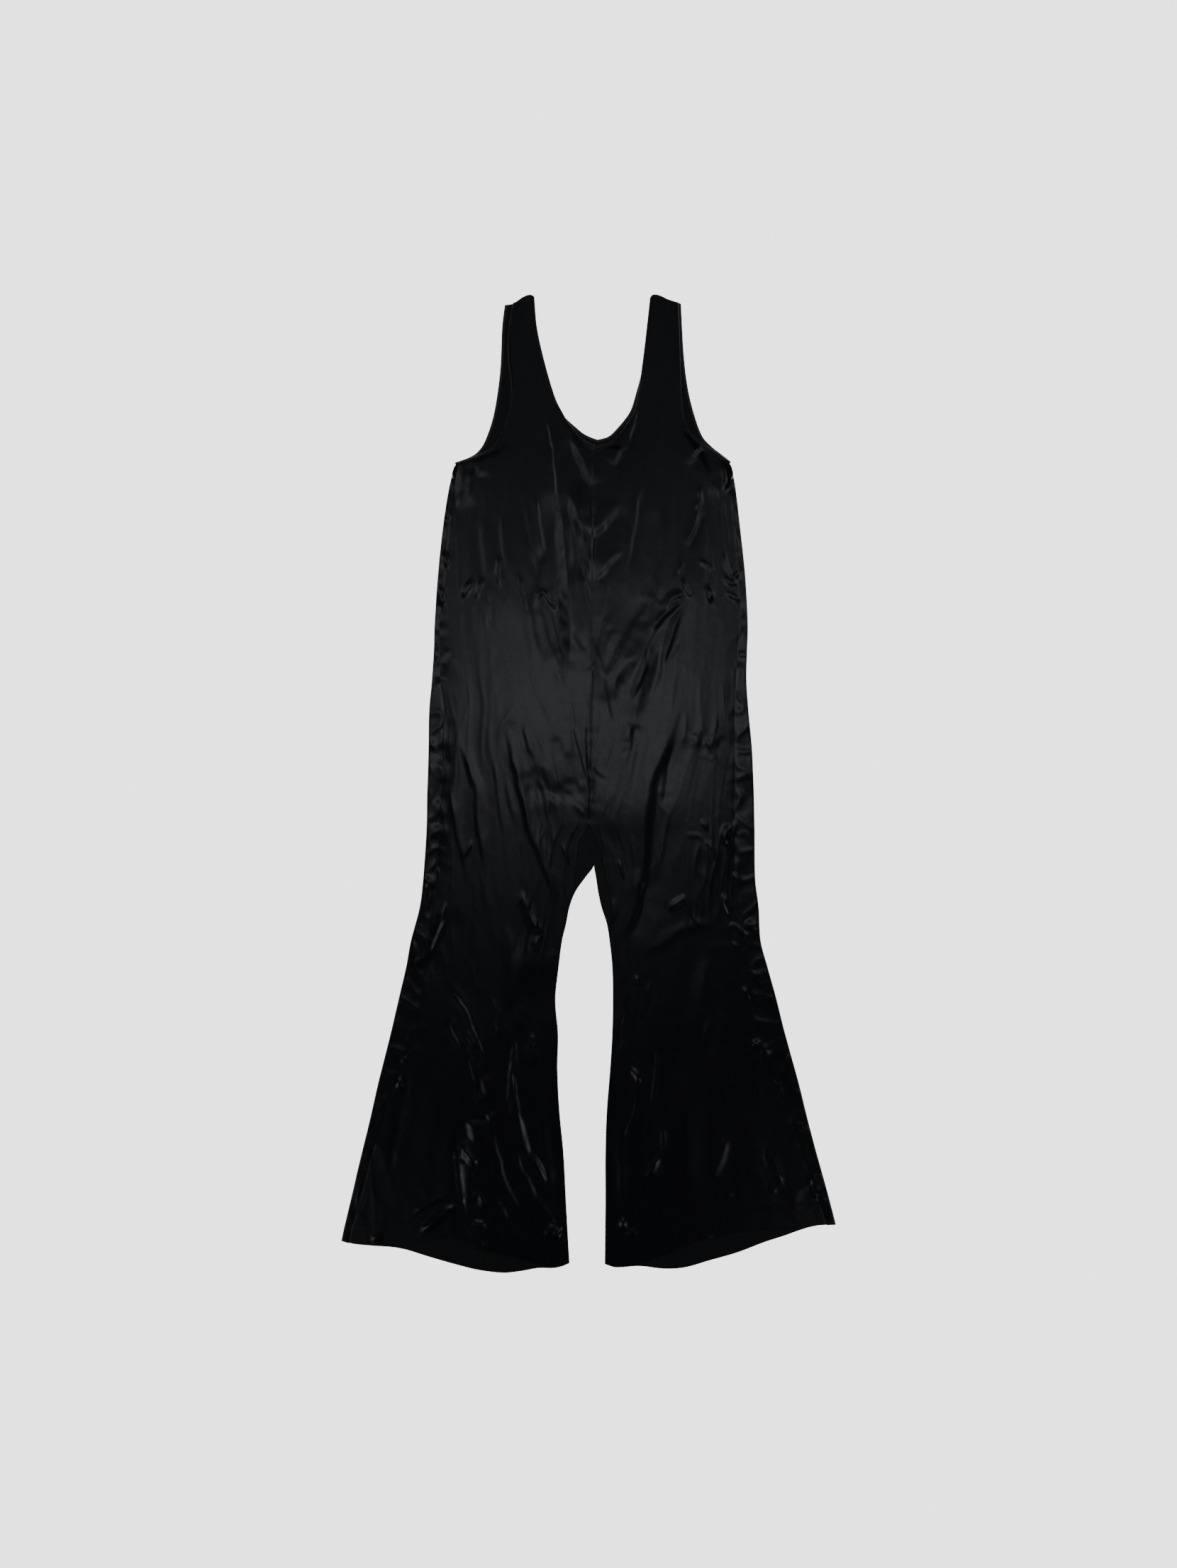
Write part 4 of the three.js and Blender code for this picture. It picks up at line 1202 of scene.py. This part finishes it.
def back_grids(side, cloth):
    """Face and inside of a back panel: flat on the ground, round the side and on to the front."""
    out = OUT[side]
    thick = cloth.thickness / MM
    inner, edge = panel_edges(side, "back", cloth)
    seam = panel_edges(side, "front", cloth)[1]
    angle, outer_radius, flap = turned_rows(side, cloth, seam, edge)
    radius = outer_radius - thick / 2
    arc = math.pi * radius
    shares = np.concatenate([np.linspace(0, 1, TURN_STEPS + 1), np.ones(FLAP_STEPS)])
    flaps = np.concatenate([np.zeros(TURN_STEPS + 1), np.arange(1, FLAP_STEPS + 1) / FLAP_STEPS])
    turned = angle[:, None] * shares
    safe = np.maximum(angle, 1e-6)[:, None]
    on_arc = np.where(angle[:, None] > 0, arc[:, None] / safe * np.sin(turned), arc[:, None] * shares)
    up_arc = np.where(angle[:, None] > 0, arc[:, None] / safe * (1 - np.cos(turned)), 0)
    outward = on_arc + flap[:, None] * flaps * np.cos(turned)
    upward = thick / 2 + up_arc + flap[:, None] * flaps * np.sin(turned)
    normal_out, normal_up = np.sin(turned) * thick / 2, -np.cos(turned) * thick / 2
    reach = (outward + normal_out).max(axis=1)[:, None]
    start = np.stack([edge[:, 0] - out * reach[:, 0], edge[:, 1]], axis=1)
    u = denser_ends(cloth.back_columns)[None, :-1]
    floor = inner[:, None, :] * (1 - u[..., None]) + start[:, None, :] * u[..., None]
    floor_x = floor[..., 0]
    floor_y = floor[..., 1] + end_shift(floor_x, u, inner, edge, side, "back", cloth)
    side_x = edge[:, :1] + out * (outward - reach)
    side_y = edge[:, 1:] + end_shift(side_x, np.ones((1, 1)), inner, edge, side, "back", cloth)
    pressed = fold_heights(floor_x, floor_y, BACK_FOLDS) + 0.25
    pressed += 0.2 * soft_noise(floor_x, floor_y, 30, 50, 14)
    centre = np.abs(floor_x - smooth(CENTRE, "back", floor_y))
    above = smoothstep(floor_y, CROTCH_Y["back"] - 4, CROTCH_Y["back"] + 8)
    pressed += 0.5 * seam_groove(centre) * above
    lift = np.clip(pressed, 0, 1.3) * smoothstep(u, 1.0, 0.9) * smoothstep(floor_y, -700, -660)
    crest = fold_heights(side_x, side_y, FRONT_FOLDS) + kink_heights(side_x, side_y, FRONT_KINKS)
    crest -= crest[:, -1:]
    crest += side_seam_relief(side_y, side_x - smooth(SIDES, f"{side}_seam", side_y), side, cloth)
    rolled = 0.7 * soft_noise(side_y, side_x, 24, 34, 51) + 0.1 * soft_noise(side_y, side_x, 9, 12, 52)
    rolled += 1.3 * ridges(soft_noise(side_y, side_x, 38, 50, 53), 0.14)
    crest += 0.6 * rolled * smoothstep(np.abs(side_x - seam[:, :1]), 0, 6)
    crest *= smoothstep(turned / math.pi, 0.3, 1.0)
    face = np.concatenate(
        [
            np.stack([floor_x, floor_y, lift], axis=-1),
            np.stack([side_x + out * normal_out, side_y, upward + normal_up * 1.0 + crest], axis=-1),
        ],
        axis=1,
    )
    inside = np.concatenate(
        [
            np.stack([floor_x, floor_y, lift + thick], axis=-1),
            np.stack([side_x - out * normal_out, side_y, upward - normal_up + crest], axis=-1),
        ],
        axis=1,
    )
    return face, inside


class JUMPSUIT_OT_backs(bpy.types.Operator):
    """Make the two back panels, which turn round the sides"""

    bl_idname = "jumpsuit.backs"
    bl_label = "Back panels"

    def execute(self, context):
        cloth = context.scene.jumpsuit_cloth
        for side in OUT:
            face, inside = back_grids(side, cloth)
            piece = shell(f"satin_back_{side}", face, inside, *cloth_materials(cloth))
            finish_piece(piece, "satin", f"back_{side}")
        return {"FINISHED"}


def binding_edges(side, opening, layer, width):
    """The two edges of a strip of binding on one side, from the shoulder down."""
    out = OUT[side]
    outside = spline(EDGES[side, opening, layer], BINDING_STEPS)
    inside = moved_in(outside, width, out if opening == "neck" else -out)
    fade = np.clip(1 - np.arange(BINDING_STEPS + 1) / (SHOULDER_SHARE * BINDING_STEPS), 0, 1)
    for line in (outside, inside):
        line[:, 1] += (smooth(SHOULDERS[side], "y", line[0, 0]) - line[0, 1]) * fade
    return outside, inside


def binding_tube(name, outside, inside, opening, layer, cloth, face, seed):
    """A narrow rolled strip round an edge, slightly gathered by its stitches."""
    middle = (outside + inside) / 2
    across = (outside - inside) / 2
    if layer == "front":
        loft = CENTRE_LOFT if opening == "neck" else SIDE_LOFT
        centre_z = front_height(middle[:, 0], middle[:, 1], loft, cloth) - BINDING_SINK
    else:
        centre_z = np.full(len(middle), BACK_BINDING_Z)
    along = np.concatenate([[0], np.cumsum(np.linalg.norm(np.diff(middle, axis=0), axis=1))])
    uneven = 0.5 + 0.5 * soft_noise(along, along * 0, 30, 30, seed)
    gather = 1 + GATHER * np.sin(along * 2 * math.pi / GATHER_PITCH) * uneven if layer == "front" else 1
    rings = []
    for k in range(BINDING_SIDES):
        turn = 2 * math.pi * k / BINDING_SIDES
        reach = np.sign(math.cos(turn)) * abs(math.cos(turn)) ** 0.7
        rise = math.sin(turn) * BINDING_HALF[layer] * gather
        plan = middle + across * reach
        rings.append(np.stack([plan[:, 0], plan[:, 1], centre_z + rise], axis=-1))
    rings = np.stack(rings, axis=1)
    count = len(middle)
    number = np.arange(count * BINDING_SIDES).reshape(count, BINDING_SIDES)
    following = np.roll(number, -1, axis=1)
    faces = np.stack([number[:-1], number[1:], following[1:], following[:-1]], axis=-1)
    faces = faces.reshape(-1, 4).tolist()
    faces += [number[0].tolist(), number[-1][::-1].tolist()]
    mesh = bpy.data.meshes.new(name)
    mesh.from_pydata((rings.reshape(-1, 3) * MM).tolist(), [], faces)
    mesh.polygons.foreach_set("use_smooth", np.ones(len(faces), bool))
    uv = mesh.uv_layers.new(name="cloth")
    loops = np.zeros(len(mesh.loops), int)
    mesh.loops.foreach_get("vertex_index", loops)
    turns = np.tile(np.arange(BINDING_SIDES) * 0.6, count)
    flat = np.stack([turns, np.repeat(along, BINDING_SIDES)], axis=1) * MM
    uv.data.foreach_set("uv", flat[loops].ravel())
    mesh.materials.append(face)
    piece = bpy.data.objects.new(name, mesh)
    bpy.context.scene.collection.objects.link(piece)
    outward_normals(piece)
    return piece


def outward_normals(piece):
    """Turns a closed mesh's faces outwards."""
    mesh = piece.data
    points = np.zeros(len(mesh.vertices) * 3)
    mesh.vertices.foreach_get("co", points)
    points = points.reshape(-1, 3)
    mesh.calc_loop_triangles()
    corners = np.zeros(len(mesh.loop_triangles) * 3, int)
    mesh.loop_triangles.foreach_get("vertices", corners)
    a, b, c = points[corners.reshape(-1, 3)].transpose(1, 0, 2)
    if (a * np.cross(b, c)).sum() < 0:
        mesh.flip_normals()


class JUMPSUIT_OT_bindings(bpy.types.Operator):
    """Make the bindings of the neck and the armholes"""

    bl_idname = "jumpsuit.bindings"
    bl_label = "Bindings"

    def execute(self, context):
        cloth = context.scene.jumpsuit_cloth
        sewing = context.scene.jumpsuit_sewing
        width = sewing.binding_width / MM
        # The back bindings take the dull inside finish in a grey that paints the highlight of their rolled
        # edges.
        painted_highlight_face = named_finish("binding_painted_highlight", satin_inside, tuple(sewing.binding_painted_highlight_colour))
        faces = {"back": painted_highlight_face, "front": cloth_materials(cloth)[0]}
        for layer, face in faces.items():
            left = binding_edges("left", "neck", layer, width)
            right = binding_edges("right", "neck", layer, width)
            outside, inside = (np.vstack([a, b[-2::-1]]) for a, b in zip(left, right))
            node = f"neck_binding_{layer}"
            piece = binding_tube(f"satin_{node}", outside, inside, "neck", layer, cloth, face, 5)
            finish_piece(piece, "satin_binding", node)
            for side in OUT:
                edges = binding_edges(side, "armhole", layer, width)
                node = f"armhole_binding_{side}_{layer}"
                piece = binding_tube(f"satin_{node}", *edges, "armhole", layer, cloth, face, 6)
                finish_piece(piece, "satin_binding", node)
        return {"FINISHED"}


def stitch_tree(thread):
    """A node group that lays stitches along a line of edges."""
    tree = bpy.data.node_groups.new("stitches", "GeometryNodeTree")
    sockets = {}
    tree.interface.new_socket("Line", in_out="INPUT", socket_type="NodeSocketGeometry")
    for label in ("Stitch pitch", "Stitch length", "Thread radius"):
        socket = tree.interface.new_socket(label, in_out="INPUT", socket_type="NodeSocketFloat")
        sockets[label] = socket.identifier
    tree.interface.new_socket("Stitches", in_out="OUTPUT", socket_type="NodeSocketGeometry")
    nodes = tree.nodes
    given = nodes.new("NodeGroupInput")
    result = nodes.new("NodeGroupOutput")
    to_curve = nodes.new("GeometryNodeMeshToCurve")
    to_points = nodes.new("GeometryNodeCurveToPoints")
    to_points.mode = "LENGTH"
    sphere = nodes.new("GeometryNodeMeshUVSphere")
    set_inputs(sphere, {"Segments": 6, "Rings": 4, "Radius": 1.0})
    half = nodes.new("ShaderNodeMath")
    half.operation = "MULTIPLY"
    half.inputs[1].default_value = 0.5
    size = nodes.new("ShaderNodeCombineXYZ")
    place = nodes.new("GeometryNodeInstanceOnPoints")
    smooth_faces = nodes.new("GeometryNodeSetShadeSmooth")
    realize = nodes.new("GeometryNodeRealizeInstances")
    finish = nodes.new("GeometryNodeSetMaterial")
    set_inputs(finish, {"Material": thread})
    for output, socket in (
        (given.outputs["Line"], to_curve.inputs["Mesh"]),
        (to_curve.outputs["Curve"], to_points.inputs["Curve"]),
        (given.outputs["Stitch pitch"], to_points.inputs["Length"]),
        (given.outputs["Stitch length"], half.inputs[0]),
        (given.outputs["Thread radius"], size.inputs["X"]),
        (given.outputs["Thread radius"], size.inputs["Y"]),
        (half.outputs["Value"], size.inputs["Z"]),
        (to_points.outputs["Points"], place.inputs["Points"]),
        (to_points.outputs["Rotation"], place.inputs["Rotation"]),
        (sphere.outputs["Mesh"], smooth_faces.inputs["Geometry"]),
        (smooth_faces.outputs["Geometry"], place.inputs["Instance"]),
        (size.outputs["Vector"], place.inputs["Scale"]),
        (place.outputs["Instances"], realize.inputs["Geometry"]),
        (realize.outputs["Geometry"], finish.inputs["Geometry"]),
        (finish.outputs["Geometry"], result.inputs["Stitches"]),
    ):
        tree.links.new(output, socket)
    return tree, sockets


def stitched_lines(cloth):
    """The lines that show stitches, in millimetres, just above the cloth."""
    lines = []
    for side in OUT:
        hem = HEMS[side]
        low, high = hem["across"][[0, -1]]
        x = np.linspace(low + 4, high - 3, 220)
        y = smooth(hem, "front", x) + HEM_STITCH_DEPTH
        grid = front_grid(side, cloth)
        lines.append(on_grid(grid, x, y))
        for opening in ("neck", "armhole"):
            out = OUT[side] if opening == "neck" else -OUT[side]
            plan = moved_in(spline(EDGES[side, opening, "front"], 120), STITCHES_IN, out)[3:-3]
            lines.append(on_grid(grid, plan[:, 0], plan[:, 1]))
    return lines


def on_grid(grid, x, y):
    """Points of the plan lifted on to a grid of points, a thread's half above it."""
    flat = grid.reshape(-1, 3)
    line = []
    for px, py in zip(x, y):
        near = np.argsort((flat[:, 0] - px) ** 2 + (flat[:, 1] - py) ** 2)[:3]
        line.append((px, py, flat[near, 2].max() + THREAD_LIFT))
    line = np.array(line)
    inside = (line[:, 0] > flat[:, 0].min()) & (line[:, 0] < flat[:, 0].max())
    return line[inside]


class JUMPSUIT_OT_stitches(bpy.types.Operator):
    """Lay the stitches of the hems, the neck and the armholes"""

    bl_idname = "jumpsuit.stitches"
    bl_label = "Stitches"

    def execute(self, context):
        cloth = context.scene.jumpsuit_cloth
        sewing = context.scene.jumpsuit_sewing
        thread = named_finish("thread", thread_finish, tuple(sewing.thread_and_highlight_colour))
        points, edges = [], []
        for line in stitched_lines(cloth):
            first = len(points)
            points += (line * MM).tolist()
            edges += [(first + i, first + i + 1) for i in range(len(line) - 1)]
        guide_mesh = bpy.data.meshes.new("stitch_guide")
        guide_mesh.from_pydata(points, edges, [])
        guide = bpy.data.objects.new("stitch_guide", guide_mesh)
        context.scene.collection.objects.link(guide)
        tree, sockets = stitch_tree(thread)
        modifier = guide.modifiers.new("stitches", "NODES")
        modifier.node_group = tree
        for label, identifier in sockets.items():
            modifier[identifier] = getattr(sewing, label.lower().replace(" ", "_"))
        evaluated = guide.evaluated_get(context.evaluated_depsgraph_get())
        mesh = bpy.data.meshes.new_from_object(evaluated)
        if not mesh.polygons:
            raise RuntimeError("the stitches came out empty")
        piece = bpy.data.objects.new("stitches", mesh)
        context.scene.collection.objects.link(piece)
        bpy.data.objects.remove(guide)
        bpy.data.meshes.remove(guide_mesh)
        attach(piece, BODY)
        return {"FINISHED"}


def area_light(name, place, target, size, power):
    """A softbox that faces a point of the floor."""
    data = bpy.data.lights.new(name, "AREA")
    data.shape = "RECTANGLE"
    data.size, data.size_y = size
    data.energy = power
    data.color = LAMP_TINT
    light = bpy.data.objects.new(name, data)
    light.location = place
    direction = light.location - Vector((*target, 0))
    light.rotation_euler = direction.to_track_quat("Z", "Y").to_euler()
    bpy.context.scene.collection.objects.link(light)


def pale_floor(studio):
    """The plain floor that the garment lies on."""
    mesh = bpy.data.meshes.new("floor")
    corners = [(x * FLOOR_HALF, y * FLOOR_HALF, FLOOR_Z) for x, y in ((-1, -1), (1, -1), (1, 1), (-1, 1))]
    mesh.from_pydata(corners, [], [(0, 1, 2, 3)])
    mesh.materials.append(named_finish("floor", floor_finish, tuple(studio.floor_colour)))
    floor = bpy.data.objects.new("floor", mesh)
    bpy.context.scene.collection.objects.link(floor)


def overhead_camera(studio):
    """The camera, which looks straight down."""
    data = bpy.data.cameras.new("camera")
    data.sensor_fit = "VERTICAL"
    data.sensor_height = SENSOR_HEIGHT
    data.lens = studio.lens
    data.clip_end = FARTHEST
    camera = bpy.data.objects.new("camera", data)
    camera.location = (0, 0, studio.view_height * studio.lens / SENSOR_HEIGHT)
    bpy.context.scene.collection.objects.link(camera)
    bpy.context.scene.camera = camera
    return camera


class JUMPSUIT_OT_stage(bpy.types.Operator):
    """Make the floor, the soft lights and the camera"""

    bl_idname = "jumpsuit.stage"
    bl_label = "Studio"

    def execute(self, context):
        studio = context.scene.jumpsuit_studio
        pale_floor(studio)
        lamps_z = overhead_camera(studio).location.z + LAMPS_ABOVE_CAMERA
        area_light("softbox_top", (0.0, 0.27, lamps_z), (0.0, 0.13), (1.0, 0.4), studio.top_power)
        for name, place, rise, target, size, power in OVERHEAD_LAMPS:
            area_light(name, (*place, lamps_z + rise), target, size, power)
        for side, out in OUT.items():
            for name, (x, y), target, size, power in SIDE_LAMPS:
                area_light(f"{name}_{side}", (x * out, y, SIDE_LAMPS_Z), target, size, power)
        world = bpy.data.worlds.new("world")
        world.use_nodes = True
        set_inputs(world.node_tree.nodes["Background"], {"Color": WORLD_TINT, "Strength": WORLD_STRENGTH})
        context.scene.world = world
        return {"FINISHED"}


class JUMPSUIT_PT_panel(bpy.types.Panel):
    """Lists the sizes and the steps that make the jumpsuit"""

    bl_idname = "JUMPSUIT_PT_panel"
    bl_label = "Jumpsuit"
    bl_space_type = "VIEW_3D"
    bl_region_type = "UI"
    bl_category = "Jumpsuit"

    def draw(self, context):
        scene = context.scene
        for group in (scene.jumpsuit_cloth, scene.jumpsuit_sewing, scene.jumpsuit_studio):
            box = self.layout.box()
            for name in group.__annotations__:
                box.prop(group, name)
        for operator in OPERATORS:
            self.layout.operator(operator.bl_idname)


OPERATORS = (
    JUMPSUIT_OT_stage,
    JUMPSUIT_OT_backs,
    JUMPSUIT_OT_fronts,
    JUMPSUIT_OT_bindings,
    JUMPSUIT_OT_stitches,
)
GROUPS = (JumpsuitCloth, JumpsuitSewing, JumpsuitStudio)
CLASSES = (*GROUPS, *OPERATORS, JUMPSUIT_PT_panel)


def register():
    """Makes the properties, operators and panel known to Blender."""
    for item in CLASSES:
        bpy.utils.register_class(item)
    bpy.types.Scene.jumpsuit_cloth = PointerProperty(type=JumpsuitCloth)
    bpy.types.Scene.jumpsuit_sewing = PointerProperty(type=JumpsuitSewing)
    bpy.types.Scene.jumpsuit_studio = PointerProperty(type=JumpsuitStudio)


def unregister():
    """Takes them away again."""
    del bpy.types.Scene.jumpsuit_studio
    del bpy.types.Scene.jumpsuit_sewing
    del bpy.types.Scene.jumpsuit_cloth
    for item in reversed(CLASSES):
        bpy.utils.unregister_class(item)


def main():
    """Makes the jumpsuit and its studio."""
    register()
    bpy.ops.jumpsuit.stage()
    bpy.ops.jumpsuit.backs()
    bpy.ops.jumpsuit.fronts()
    bpy.ops.jumpsuit.bindings()
    bpy.ops.jumpsuit.stitches()


if __name__ == "__main__":
    main()
